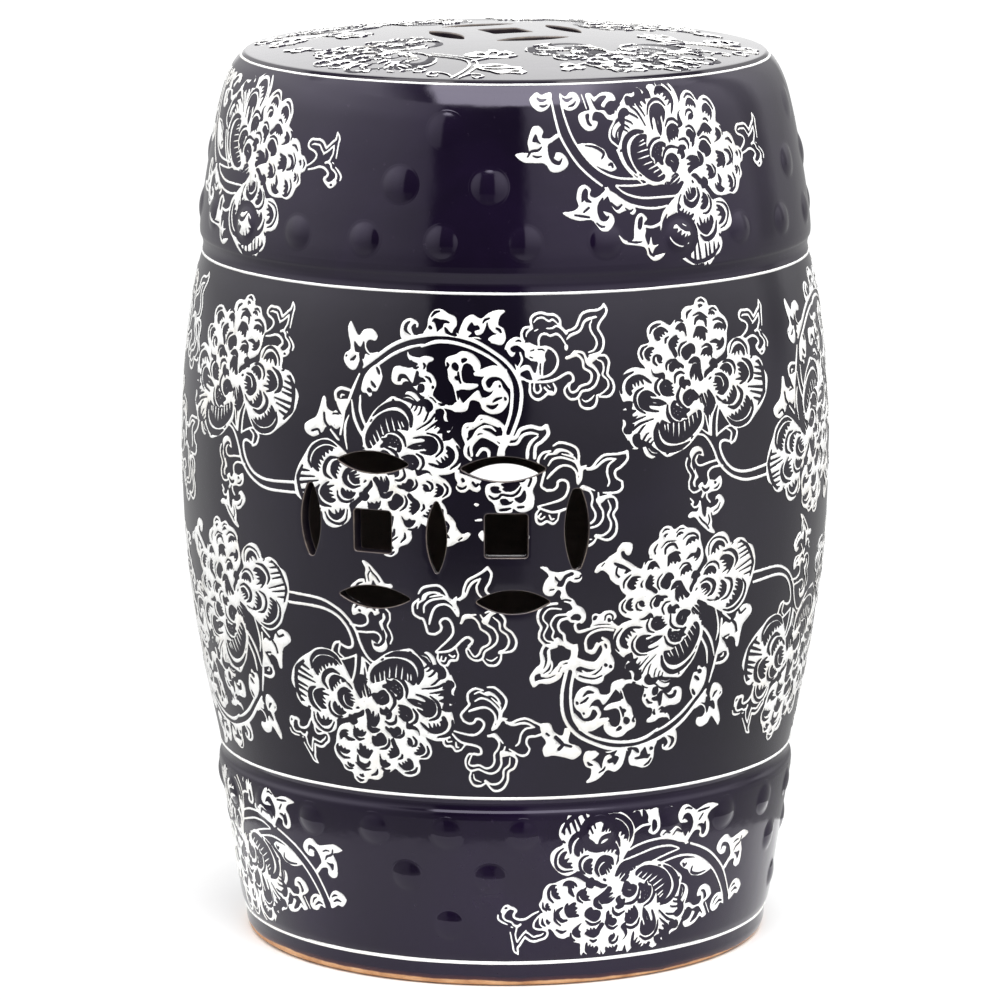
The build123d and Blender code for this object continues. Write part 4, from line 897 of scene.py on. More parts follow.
SPRIG = [
    ("w", [(20.9, 24.69), (23.26, 25.94), (25.54, 27.8), (26.44, 29.81), (25.75, 31.26), (24.03, 32.23), (21.94, 32.97), (20.65, 34.34), (21, 36.1), (22.7, 37.49), (25.45, 37.51), (27.84, 37.52), (30.02, 36.44), (31.32, 34.73), (32.2, 33.95)], [0.89, 1.05, 1.21, 1.29, 1.21, 1.21, 1.37, 1.45, 1.37, 1.37, 1.29, 1.37, 1.37, 1.45, 1.45]),
    ("w", [(31.91, 33.71), (33.65, 35.2), (35.53, 36.97), (37.02, 38.11), (37.49, 40.1), (37.72, 41.72)], [1.21, 1.29, 1.37, 1.37, 1.21, 0.73]),
    ("w", [(37.72, 41.72), (38.91, 40.1), (39.36, 38.4), (38.98, 36.38), (38.75, 33.97), (38.54, 31.56), (38.32, 29.14)], [0.73, 1.05, 1.21, 1.13, 1.05, 0.97, 0.81]),
    ("w", [(22.62, 34.78), (24.14, 35.29), (26.07, 35.14), (27.8, 35.02), (28.93, 33.66), (29.99, 32.16), (31.21, 31.37), (33.41, 32.61), (35.23, 34.14), (36.52, 35.23)], [0.64, 0.97, 1.13, 1.13, 1.05, 1.05, 1.13, 1.13, 1.13, 0.89]),
    ("w", [(36.52, 35.23), (36.46, 33), (36.16, 30.91), (35.15, 29.08), (34.38, 27.74), (32.25, 26.78)], [0.89, 1.05, 1.05, 1.05, 1.21, 1.37]),
    ("w", [(30.35, 30.43), (31.64, 31.35)], [0.56, 0.81]),
    ("w", [(21.96, 23.01), (25.36, 23.66), (28.82, 24.74), (31.58, 24.43), (33.68, 23.07), (34.36, 21.51), (33.51, 20.24), (32.37, 19.26), (33.33, 17.81), (34.91, 16.79)], [0.97, 1.13, 1.29, 1.37, 1.37, 1.45, 1.45, 1.61, 1.77, 1.93]),
    ("w", [(33.98, 27.21), (35.48, 26.25), (36.14, 24.42), (37.94, 23.11), (39.16, 21.66), (39.18, 19.82), (38.09, 18.38), (36.87, 16.98)], [1.21, 1.29, 1.05, 1.05, 1.21, 1.45, 1.85, 2.42]),
    ("W", [(34.11, 17.23), (35.72, 18), (38.15, 18.59), (39.76, 18.32), (39.43, 16.91), (37.9, 15.4), (36.11, 14.82), (34.53, 15.57)], None),
    ("D", [(35.87, 16.58), (36.56, 17.08), (37.41, 16.78), (37.2, 16.13), (36.36, 16.03)], None),
    ("w", [(36.42, 27.19), (37.33, 26.49)], [0.81, 0.56]),
    ("w", [(38.28, 25.1), (39.77, 23.86), (41.05, 22.52), (42.02, 20.73), (41.56, 18.89)], [0.56, 1.05, 1.21, 1.21, 0.97]),
]
SCROLL = [
    ("w", [(-16.8, 9.8), (-20.7, 9.2), (-22.2, 6.6), (-21.7, 4.2), (-20.8, 3.2)], [1.03, 1.39, 1.39, 1.39, 1.03]),
    ("w", [(-19.9, 5), (-19.4, 7.1), (-17.3, 8.7), (-16.4, 8.9)], [0.51, 1.13, 1.13, 0.51]),
    ("w", [(-16.8, 9.3), (-17.6, 12.8), (-16.2, 15.1), (-12.6, 16.3), (-8.9, 15.5), (-5.4, 15.2), (-2.9, 13), (-2.6, 10), (-0.5, 7.6), (0.7, 6.5)], [1.03, 1.39, 1.39, 1.39, 1.39, 1.39, 1.39, 1.39, 1.39, 1.13]),
    ("w", [(-16.1, 11.7), (-14.1, 13.6), (-11.1, 13.9), (-8.5, 12.3), (-6.4, 13), (-3.9, 11)], [0.62, 1.13, 1.13, 1.13, 1.13, 0.72]),
    ("w", [(-15.6, 7.8), (-13.8, 8.6)], [0.72, 0.62]),
    ("w", [(-9.8, 8.9), (-6.7, 9), (-4.6, 10), (-1.9, 8.6), (0.1, 6.1)], [0.62, 1.13, 1.13, 1.13, 1.03]),
    ("w", [(-13.6, 0.9), (-13.7, 3.6), (-12.4, 6), (-9.8, 6.4), (-7.8, 5.4), (-4.7, 6.3), (-2.6, 4.9), (-0.6, 1.8)], [1.03, 1.23, 1.23, 1.23, 1.23, 1.23, 1.23, 1.03]),
    ("W", [(-0.7, 1), (0.3, 1.4), (1.1, 0.4), (0.6, -1.5), (-0.3, -1.8), (-1, -0.6)], None),
    ("w", [(-0.4, 7.1), (4.7, 8.9), (6.5, 11.8), (8.3, 15), (11.6, 16.5), (16.9, 16.9), (19.5, 18.2), (20.4, 19.3)], [1.13, 1.39, 1.39, 1.39, 1.39, 1.39, 1.39, 1.54]),
    ("w", [(20.4, 19.3), (21.6, 16.9), (20.7, 14.4), (17.8, 11.2), (16.5, 8.4), (17.8, 6), (19.1, 3.1), (18.8, -0.5), (17.1, -3.1), (11.6, -4.5)], [1.54, 1.39, 1.39, 1.39, 1.39, 1.39, 1.39, 1.39, 1.39, 1.13]),
    ("w", [(0.3, 3.5), (2.5, 5.5), (7.1, 7.4), (9.5, 11.4), (11.9, 12.8), (15.6, 13.6), (16.1, 13.3)], [0.72, 1.54, 1.34, 1.34, 1.54, 1.23, 0.72]),
    ("w", [(13.5, 12), (12.4, 9.6), (13.1, 6.7), (15, 3.8), (15.6, 0.9), (14, -1.9), (11.1, -2.9)], [0.62, 1.23, 1.23, 1.23, 1.23, 1.13, 0.72]),
    ("w", [(0.1, -5.2), (5.3, -4), (8.1, -6.6), (8.6, -10.1), (11.9, -12.2), (12.4, -14.9), (11, -17.4), (6.7, -18.8), (4.8, -20.9), (2.3, -21.5), (1, -19.4), (1.8, -17)], [1.75, 1.54, 1.34, 1.34, 1.34, 1.34, 1.34, 1.34, 1.34, 1.23, 1.13, 0.93]),
    ("w", [(4.3, -2.2), (8.7, -3.2), (10.4, -8), (13.5, -10.1), (15.6, -12.7), (15.7, -15.5), (14, -18.8), (10.9, -20.7), (7.4, -21.3), (5.3, -24.2), (2.2, -24.9), (-0.3, -23.1), (-1.3, -20.2), (1, -17.2)], [1.23, 1.34, 1.34, 1.34, 1.34, 1.34, 1.34, 1.34, 1.34, 1.34, 1.34, 1.34, 1.23, 1.03]),
    ("W", [(10.5, -5.7), (12.5, -4.8), (16, -4.9), (14.5, -6.8), (12.7, -7.9), (11.5, -8.3)], None),
    ("w", [(4.3, -2.3), (2.2, -3.9)], [1.54, 0.82]),
    ("w", [(15.4, -4.7), (19.7, -4.7), (21.5, -7.6), (20.9, -11), (20.6, -13.8), (23, -16.9), (23.6, -20.7), (21.2, -24), (16.1, -24.2)], [1.13, 1.39, 1.39, 1.39, 1.39, 1.39, 1.39, 1.39, 1.03]),
    ("w", [(15.5, -6.4), (18.2, -8), (18.6, -11.4), (18, -13.8), (20.4, -16.4), (20.7, -19.6), (18.4, -22)], [0.72, 1.13, 1.13, 1.13, 1.13, 1.13, 0.93]),
    ("w", [(18.4, -22), (16.5, -23), (14.9, -23.3)], [0.82, 1.03, 0.82]),
    ("w", [(5.7, -24.9), (6.7, -28.1), (9.7, -29.6), (13.2, -28.9), (14.7, -26.2), (14.8, -23.5)], [1.03, 1.39, 1.39, 1.39, 1.39, 1.03]),
    ("w", [(7.2, -24.9), (9.2, -26.2), (11.9, -25), (13.7, -23)], [0.51, 1.03, 1.03, 0.51]),
    ("w", [(11.6, -7.4), (14.4, -10.2), (16.5, -13.9)], [1.03, 1.13, 0.93]),
    ("w", [(-22.8, -13.8), (-19.1, -15.7), (-14.2, -16.3), (-9.2, -16.1), (-5.2, -15.1), (-1.1, -12.9), (1.4, -12.2), (3.1, -14), (3.1, -16), (1.8, -17)], [0.93, 1.39, 1.39, 1.39, 1.39, 1.39, 1.39, 1.39, 1.54, 1.13]),
]
SPIRAL = [
    ("w", [(-12, -14.2), (-8, -12.8), (-5.1, -9.7), (-4.3, -6.1), (-5.3, -2.8), (-7.8, -0.5), (-10.9, 0), (-13.8, 0.3)], [1.13, 1.39, 1.39, 1.39, 1.39, 1.39, 1.39, 1.13]),
]
BUDS = [
    ("w", [(-18.1, -17), (-18.1, -21.3), (-16.4, -23.8), (-13.8, -24.7), (-11.2, -23.3), (-9.6, -22), (-6.6, -22.1), (-5.5, -19.7), (-6.7, -17.1)], [1.13, 1.39, 1.39, 1.39, 1.39, 1.39, 1.39, 1.39, 1.03]),
    ("w", [(-16.1, -17.5), (-15.9, -20.4), (-14.3, -21.5), (-12.8, -20.1), (-13.2, -17.8)], [1.13, 1.23, 1.23, 1.13, 1.03]),
    ("w", [(-11, -19), (-9, -20.8), (-7.3, -21)], [1.23, 1.34, 0.93]),
    ("w", [(-9.7, -17.6), (-8.3, -19.1)], [0.62, 0.72]),
]
JOIN = [
    ("W", [(-25.1, -9.2), (-25.6, -7.3), (-23.3, -9.6), (-21.1, -8.3), (-18.1, -8.4), (-16.7, -10.7), (-15.6, -11.7), (-14.8, -9.7), (-14.3, -6.9), (-17.2, -6.4), (-20, -5), (-21.1, -2.1), (-21.1, 1.3), (-19.9, 2.3), (-17.8, 2.3), (-16, 1.5), (-13.6, 0.7), (-9.4, 0.8), (-9.5, -1.2), (-10.7, -3.6), (-10.1, -6), (-11.1, -7.4), (-11.6, -11.3), (-11.9, -14.1), (-14.2, -15.3), (-16.7, -15.3), (-17.4, -13.6), (-18.4, -11.1), (-20, -10.7), (-22.1, -12.6), (-20.1, -14.5), (-22.4, -15.5), (-24.1, -13.5)], None),
    ("D", [(-22.8, -12.7), (-20.8, -11.1), (-19, -11.7), (-18.2, -13.9), (-17.4, -15.3), (-19.7, -14.6)], None),
    ("d", [(-17.7, -1.6), (-16, -1.1)], [0.41, 0.51]),
    ("d", [(-14, -0.9), (-12, -0.9), (-10.8, -1.7)], [0.41, 0.51, 0.31]),
    ("d", [(-12.9, -7.5), (-13.1, -9.8), (-13, -12.8)], [0.41, 0.62, 0.41]),
    ("d", [(-18.1, -4.4), (-16.6, -5)], [0.41, 0.41]),
    ("D", [(-17.1, -6.4), (-15.5, -7), (-14.8, -9.3), (-15.4, -12), (-16, -11.2), (-16.1, -8.8), (-18.1, -7.4)], None),
    ("w", [(-30.1, -0.5), (-28.6, 2.3), (-25, 4.5), (-21.2, 3.3)], [1.03, 1.34, 1.34, 1.13]),
    ("W", [(-30.1, 0.4), (-28.3, 2.7), (-25.6, 4.7), (-22.2, 4.5), (-20.2, 2.3), (-18.7, 1.3), (-19.1, -1.6), (-20.6, -3.5), (-21.3, -1.5), (-23.1, -0.6), (-24.6, -1.2), (-25.6, -3.4), (-27.1, -4.4), (-28.9, -2.5)], None),
    ("D", [(-27.6, -0.5), (-26.4, 0.6), (-24.3, 1), (-22.4, -0.2), (-20.8, -1.7), (-20.4, -4.4), (-18.1, -5.9), (-20.6, -6.3), (-22.1, -8.2), (-23.1, -9.2), (-21.7, -5.8), (-21.8, -3.3), (-23.3, -1.5), (-24.6, -1.8), (-26.1, -2.1)], None),
    ("d", [(-24.9, 3), (-23.5, 3.4), (-22.4, 2.8)], [0.41, 0.62, 0.41]),
    ("w", [(-23.9, -9.7), (-22, -5.8), (-22.8, -2.5)], [1.13, 1.23, 1.13]),
]
RING = [
    ("w", [(-37.7, 5.6), (-40.8, -1.6), (-42.8, -7.1), (-44.7, -11.8)], [0.89, 1.63, 1.63, 1.03]),
    ("w", [(-42.5, -14.4), (-44.2, -18.8), (-44.3, -24.5), (-43, -30.9)], [0.59, 1.48, 1.33, 0.74]),
    ("w", [(-44.7, -11.8), (-45.9, -18.2), (-46.9, -24)], [0.74, 1.33, 1.33]),
    ("w", [(-35.8, 8.7), (-28.6, 14.6), (-21.6, 19.7), (-14.4, 23.1), (-6.1, 25.2), (3.6, 26.3), (12.5, 25.5), (21.3, 23.1), (28.9, 18.9), (36.1, 13.7), (40.9, 7.5), (43.2, 0.7), (42.9, -7), (41.4, -13.3), (38.3, -21.4)], [1.03, 1.85, 1.85, 1.85, 1.85, 1.85, 1.85, 1.85, 1.85, 1.85, 1.85, 1.85, 1.85, 1.85, 1.85]),
    ("w", [(-28, 10.6), (-20.1, 16), (-11.7, 19.6), (-5.2, 21.1)], [1.48, 1.63, 1.48, 1.03]),
    ("w", [(-5.9, 20.1), (0.7, 22.5), (7.4, 22.8), (15.8, 21.2), (23.7, 18.2), (31.1, 13.8), (36.1, 8.3), (38.6, 1.4), (38.1, -9.7), (34.8, -20.4)], [1.03, 1.92, 1.77, 1.63, 1.63, 1.63, 1.63, 1.63, 1.63, 1.63]),
    ("W", [(-28, 10.7), (-31.7, 8.8), (-35.1, 4.4), (-36.4, -1.3), (-35.3, -3.2), (-33.4, -3.3), (-31.7, -5), (-30.5, -4.1), (-30.5, -2.3), (-28.3, -2.2), (-27, 0), (-25.6, 3.6), (-25.6, 6.4)], None),
    ("d", [(-28.5, 9), (-27.7, 7.7), (-27.1, 6.3)], [0.74, 1.18, 0.74]),
    ("d", [(-31.2, 2.4), (-30.2, 1.2), (-29, 0)], [0.59, 1.18, 0.89]),
    ("d", [(-32.2, -1.6), (-31.6, -2.1)], [1.48, 1.48]),
    ("w", [(-36.7, -4.6), (-36.5, -11.8), (-34.2, -17.4), (-32.8, -19.7)], [0.89, 1.63, 1.48, 1.18]),
    ("w", [(-41.3, -7), (-39.7, -14.9), (-36.6, -21.2), (-34.2, -23.7)], [0.74, 1.77, 1.63, 1.33]),
    ("w", [(-32.8, -19.3), (-34.5, -23.8)], [1.48, 1.77]),
    ("w", [(-42.8, -2.5), (-47.4, -2), (-50.4, -4.1), (-50, -7.7)], [1.48, 1.77, 1.77, 1.48]),
    ("W", [(-50.1, -7), (-47.1, -7.2), (-43.3, -7.2), (-44.5, -13.2), (-45.8, -17.4), (-46.7, -14.2), (-48.6, -11.4)], None),
    ("w", [(-47.4, -6.4), (-47, -5.2), (-45.4, -5.1)], [0.89, 1.18, 0.74]),
    ("W", [(-54.2, -14.9), (-51.2, -13.6), (-50.1, -12.7), (-48.6, -13.5), (-46.6, -16.6), (-46.7, -19.7), (-49.2, -21.8), (-52.1, -20.2), (-54.3, -19.7), (-55.3, -17)], None),
    ("d", [(-52.5, -15.6), (-51.6, -16.3)], [0.74, 0.74]),
    ("d", [(-49.5, -15), (-48.3, -16.7), (-48, -18.6)], [0.44, 0.89, 0.44]),
    ("W", [(-44.4, 30.1), (-42.5, 27.9), (-39.3, 23.7), (-36.7, 26.5), (-32.1, 27.1), (-29.1, 24.4), (-30, 21.7), (-33.4, 21.9), (-35, 19.4), (-32.5, 15.8), (-28.2, 16.4), (-33.9, 11.2), (-36, 9.2), (-35.8, 10.6), (-38.7, 15.4), (-38.1, 11.8), (-40.1, 7.4), (-43.5, 7.7), (-46.6, 11.2), (-46.3, 14.7), (-43.3, 17.3), (-45.1, 23.8), (-45.7, 27.4)], None),
    ("D", [(-41.5, 20.8), (-38.1, 18.1), (-36.3, 21.1), (-35.1, 16.9), (-32.4, 14.6), (-35, 15.3), (-35.8, 12.7), (-37.1, 13.3), (-38.4, 15.6), (-40.7, 16.2)], None),
    ("d", [(-43, 11.8), (-41.6, 12.4), (-40.4, 13.8)], [0.59, 1.18, 0.74]),
    ("d", [(-45.6, 13.4), (-45.2, 13.8)], [0.59, 0.59]),
    ("W", [(-15.9, 23.3), (-17.3, 27.6), (-16, 31.6), (-12.2, 33.2), (-8.3, 31.5), (-8.3, 29), (-10.3, 29.3), (-11.1, 27.9), (-9.9, 25.5), (-7.9, 24.6)], None),
    ("D", [(-12.5, 25.7), (-14.9, 27.1), (-15.5, 29.1), (-14.1, 31.2), (-12.1, 31.7), (-13.5, 29.6), (-13.6, 27.4), (-11.4, 25.3)], None),
    ("D", [(-11.5, 28.9), (-10.2, 30.4), (-9.1, 30.4), (-9.4, 28), (-8.1, 25.6), (-10.1, 26)], None),
    ("W", [(-4.3, 25.7), (-3.5, 29.6), (-2.8, 34.4), (0, 37.6), (3.9, 37.8), (7, 36.1), (10.8, 34.4), (11.4, 30.7), (10, 28.4), (11.9, 25.7)], None),
    ("D", [(1.7, 27.6), (0.5, 31.5), (-1.2, 32), (0.2, 33.7), (2.7, 33.1), (6.3, 32.7), (8, 31.6), (5, 31.3), (4.3, 29.5), (2.6, 28.2)], None),
    ("d", [(-1.5, 34.3), (0.2, 36.2), (2.5, 36.9)], [0.59, 1.03, 0.59]),
    ("d", [(-2.1, 29.4), (-1.6, 29)], [1.18, 1.18]),
    ("D", [(5.2, 29.5), (6.4, 29.1), (8.3, 27.1), (9.5, 27.1), (9.9, 28.4), (11.6, 25.5), (6.5, 26.6)], None),
    ("W", [(12.7, 25.8), (13.4, 30.1), (15.5, 34), (19.3, 35.8), (23.4, 34), (26.9, 36.4), (30.6, 37.8), (34.7, 38), (35.2, 36.9), (33, 35.1), (32.1, 31.3), (34.8, 29.3), (35.8, 24.9), (33.8, 21.7), (30.1, 22.2), (27.8, 22.8), (24.2, 24.1), (18.3, 25)], None),
    ("D", [(16.6, 28.9), (18.8, 32.1), (20.1, 30.6), (22, 30.7), (22.9, 29), (20.3, 28), (21.4, 26.1), (24.1, 26.8), (25.7, 29.6), (26.5, 32.4), (27.5, 29.5), (30.1, 27.2), (31.6, 27), (29.2, 26.2), (26.9, 24.4), (28.4, 22.8), (25.6, 23.6), (22, 25.4), (17.4, 25.2), (19, 27.3)], None),
    ("d", [(24.4, 31.9), (25.5, 33.3), (27.7, 34.1)], [0.44, 0.89, 0.59]),
    ("d", [(31.1, 29.5), (32.6, 28.7), (33.5, 27.5)], [0.59, 1.03, 0.59]),
    ("W", [(-12.9, 17.9), (-11.5, 15.9), (-7.1, 14.9), (-4.1, 15.9), (0, 15.3), (0, 13.7), (-2.4, 12.4), (-3, 8.9), (0, 7.2), (2.1, 2.9), (0.5, -1.5), (1.2, -3.4), (5.2, -6.1), (9.6, -7.1), (11.8, -5.5), (14.6, -7.2), (12.5, -10), (11, -10.1), (10, -9.4), (7.4, -8.8), (3.1, -8), (0.2, -6.5), (-0.6, -4.3), (-5, -3), (-7.3, -1), (-8.5, 0.3), (-10.4, 1.6), (-12.5, 3.5), (-14.6, 2.8), (-15.3, 1.7), (-18.6, 1.8), (-20.7, 4.2), (-19.9, 9.4), (-16.7, 10.7), (-12, 9.9), (-8, 11.1), (-7.8, 12.3), (-11.4, 13.3), (-12.9, 15.4)], None),
    ("D", [(-17.5, 3.7), (-16.5, 6.5), (-13.4, 6.5), (-10.4, 3), (-9.5, 3.1), (-8.2, 8.3), (-7, 8.2), (-6.6, 6), (-4.4, 5.3), (-3.3, 3.6), (-6.3, 3.2), (-8.1, 1.5), (-10.4, 1.9), (-12.7, 4.5), (-15.3, 4.8), (-16.1, 3.3)], None),
    ("D", [(-7.3, 0.4), (-6.4, 2.4), (-4.5, 2.5), (-3.7, 0.6), (-4.6, -1.4), (-6.6, -1.4)], None),
    ("d", [(-4.6, 12.3), (-4, 11.4), (-4.3, 9.8)], [0.59, 1.03, 0.59]),
    ("d", [(-10.8, 13.3), (-8.9, 10.1), (-7.2, 10.4)], [0.59, 1.03, 0.59]),
    ("d", [(-3.5, 6.1), (-1.6, 5.4), (-0.5, 3.5)], [0.44, 0.89, 0.59]),
    ("d", [(0.4, 1.5), (0.4, 1)], [0.89, 0.89]),
    ("d", [(2.6, -6.4), (4.5, -6.9), (6, -6.9)], [0.59, 0.89, 0.74]),
    ("W", [(6.1, 12.2), (6.9, 15.5), (11.2, 17), (14.1, 18.6), (18.5, 18), (22.3, 15.1), (23.6, 11.6), (22.4, 9.3), (20.3, 9.6), (19.5, 11.6), (17.1, 13), (15, 11.8), (14.3, 7.8), (15.8, 3.9), (21.7, 3.5), (22.3, 2.1), (18.9, 0.5), (13.3, 0.3), (13.5, -3.1), (15.5, -6.4), (13.1, -7.5), (12.3, -5.9), (10.3, 1.7), (8, 5.1), (7.4, 9.3)], None),
    ("D", [(9.3, 11.8), (11, 13.3), (12.8, 11.5), (12.3, 9.4), (10.4, 9.9)], None),
    ("D", [(14, 14.7), (15.9, 15.4), (17.1, 14.6), (15.7, 13.4), (14.5, 13.2)], None),
    ("d", [(12.7, 8.7), (12.8, 6.6), (14, 3.5)], [0.59, 1.03, 0.59]),
    ("d", [(11.6, 6.2), (12.3, 5.5)], [1.03, 1.03]),
    ("D", [(11.9, -0.3), (12.9, -0.6), (13.1, -4.5), (12.4, -3.1)], None),
    ("d", [(7.1, 12.9), (7.6, 11.8), (7, 10.4)], [0.59, 1.03, 0.59]),
    ("w", [(20.5, 8.2), (25.4, 9.9), (30.1, 11.2), (35.5, 9.7)], [1.03, 1.92, 1.92, 1.92]),
    ("w", [(20.8, 7.6), (25.1, 7.7), (30.1, 9.7), (34.4, 8.3), (37.2, 4.9), (38.1, 2.8)], [1.03, 1.77, 1.92, 1.92, 1.92, 1.48]),
    ("w", [(37.9, 1.9), (33.8, 6.9), (28.4, 7.5), (25.1, 4.6), (26, 1.3)], [1.77, 1.92, 1.92, 2.07, 2.07]),
    ("w", [(26, 1.3), (28.4, 0.5), (30.1, 3)], [2.07, 1.92, 1.48]),
    ("W", [(29.3, 3.3), (30.8, 4.8), (33.2, 4.7), (34.4, 1.9), (36.9, -1.5), (36.9, -5.6), (33.8, -9.9), (28.9, -10.9), (24.5, -8.6), (23.2, -5.4), (18.9, -4.6), (17, -9.4), (11.9, -10.2), (11, -8.8), (14.8, -6.4), (18.2, -3.1), (22.4, 0.4), (24.6, -3), (28, -2.1), (30.3, 1.4)], None),
    ("d", [(26.8, -6.9), (29.5, -7.7), (32, -6.3)], [0.59, 1.48, 0.59]),
    ("d", [(29.9, -4.9), (31.6, -3.8), (33.8, -3.1)], [0.74, 1.03, 0.59]),
    ("d", [(35.4, -3.2), (35.7, -3.9)], [0.89, 0.89]),
    ("d", [(32.8, 2.6), (33, 2.1)], [0.74, 0.74]),
    ("W", [(31.9, -28), (33, -24.5), (30.9, -21.7), (34.4, -21), (38.6, -21), (37.5, -24.5), (35.5, -28), (34.9, -31.5), (31.6, -32.2)], None),
    ("w", [(35.5, -20.7), (33.8, -16.2), (29.5, -13.4), (23.8, -12.2), (20.9, -15.5), (16.5, -16.5), (15.6, -20.5), (16.8, -24.3)], [1.63, 2, 2, 2, 2, 2, 2, 1.63]),
    ("w", [(32.3, -16.8), (29.5, -15.4), (25.3, -14.2), (23.1, -15.4), (21, -16.9)], [1.03, 1.63, 1.63, 1.63, 1.18]),
    ("D", [(23.9, -16.8), (25.3, -15.4), (28.1, -16.1), (30.2, -17.6), (27.4, -18.2)], None),
    ("w", [(30.9, -18.9), (28.8, -17.1), (26, -16.8), (23.9, -17.5), (22.2, -18.3)], [0.89, 1.33, 1.48, 1.33, 0.89]),
    ("w", [(17.3, -22), (17.5, -18.6), (20.3, -17.3)], [0.89, 1.48, 1.48]),
    ("w", [(33.4, -23.9), (27.4, -20), (22.5, -19.2), (20.4, -22.4), (16.9, -26.4), (16.7, -30.3), (19.1, -32.7)], [1.48, 1.92, 1.92, 1.92, 1.92, 1.77, 1.48]),
    ("w", [(32.5, -25.5), (28.7, -22.7), (24.6, -21.3), (21.8, -22.9), (19.3, -26.5), (19.6, -30.7)], [1.03, 1.77, 1.77, 1.77, 1.63, 1.33]),
    ("w", [(27.8, -31.6), (27.4, -28.3), (24.5, -27.6), (22.1, -30.6)], [1.48, 1.77, 1.77, 1.48]),
    ("w", [(35.8, -22.6), (40.2, -22.1), (42.8, -18.3), (47.8, -16.8), (52.3, -17.9), (55.3, -16.7)], [1.33, 1.92, 1.92, 1.92, 1.92, 2.22]),
    ("w", [(55.3, -16.7), (56, -20.5), (52.8, -24.2), (50, -26.3), (49.4, -31.8)], [2.22, 1.92, 1.77, 1.77, 1.77]),
    ("w", [(35.8, -25.3), (40.9, -24.8), (43.7, -21.1), (47.8, -19.9), (51, -20.5)], [1.03, 1.63, 1.63, 1.48, 1.03]),
    ("w", [(51, -21.6), (47.9, -24.1), (46.3, -27.3), (45.9, -31.7)], [1.03, 1.77, 1.77, 1.77]),
]
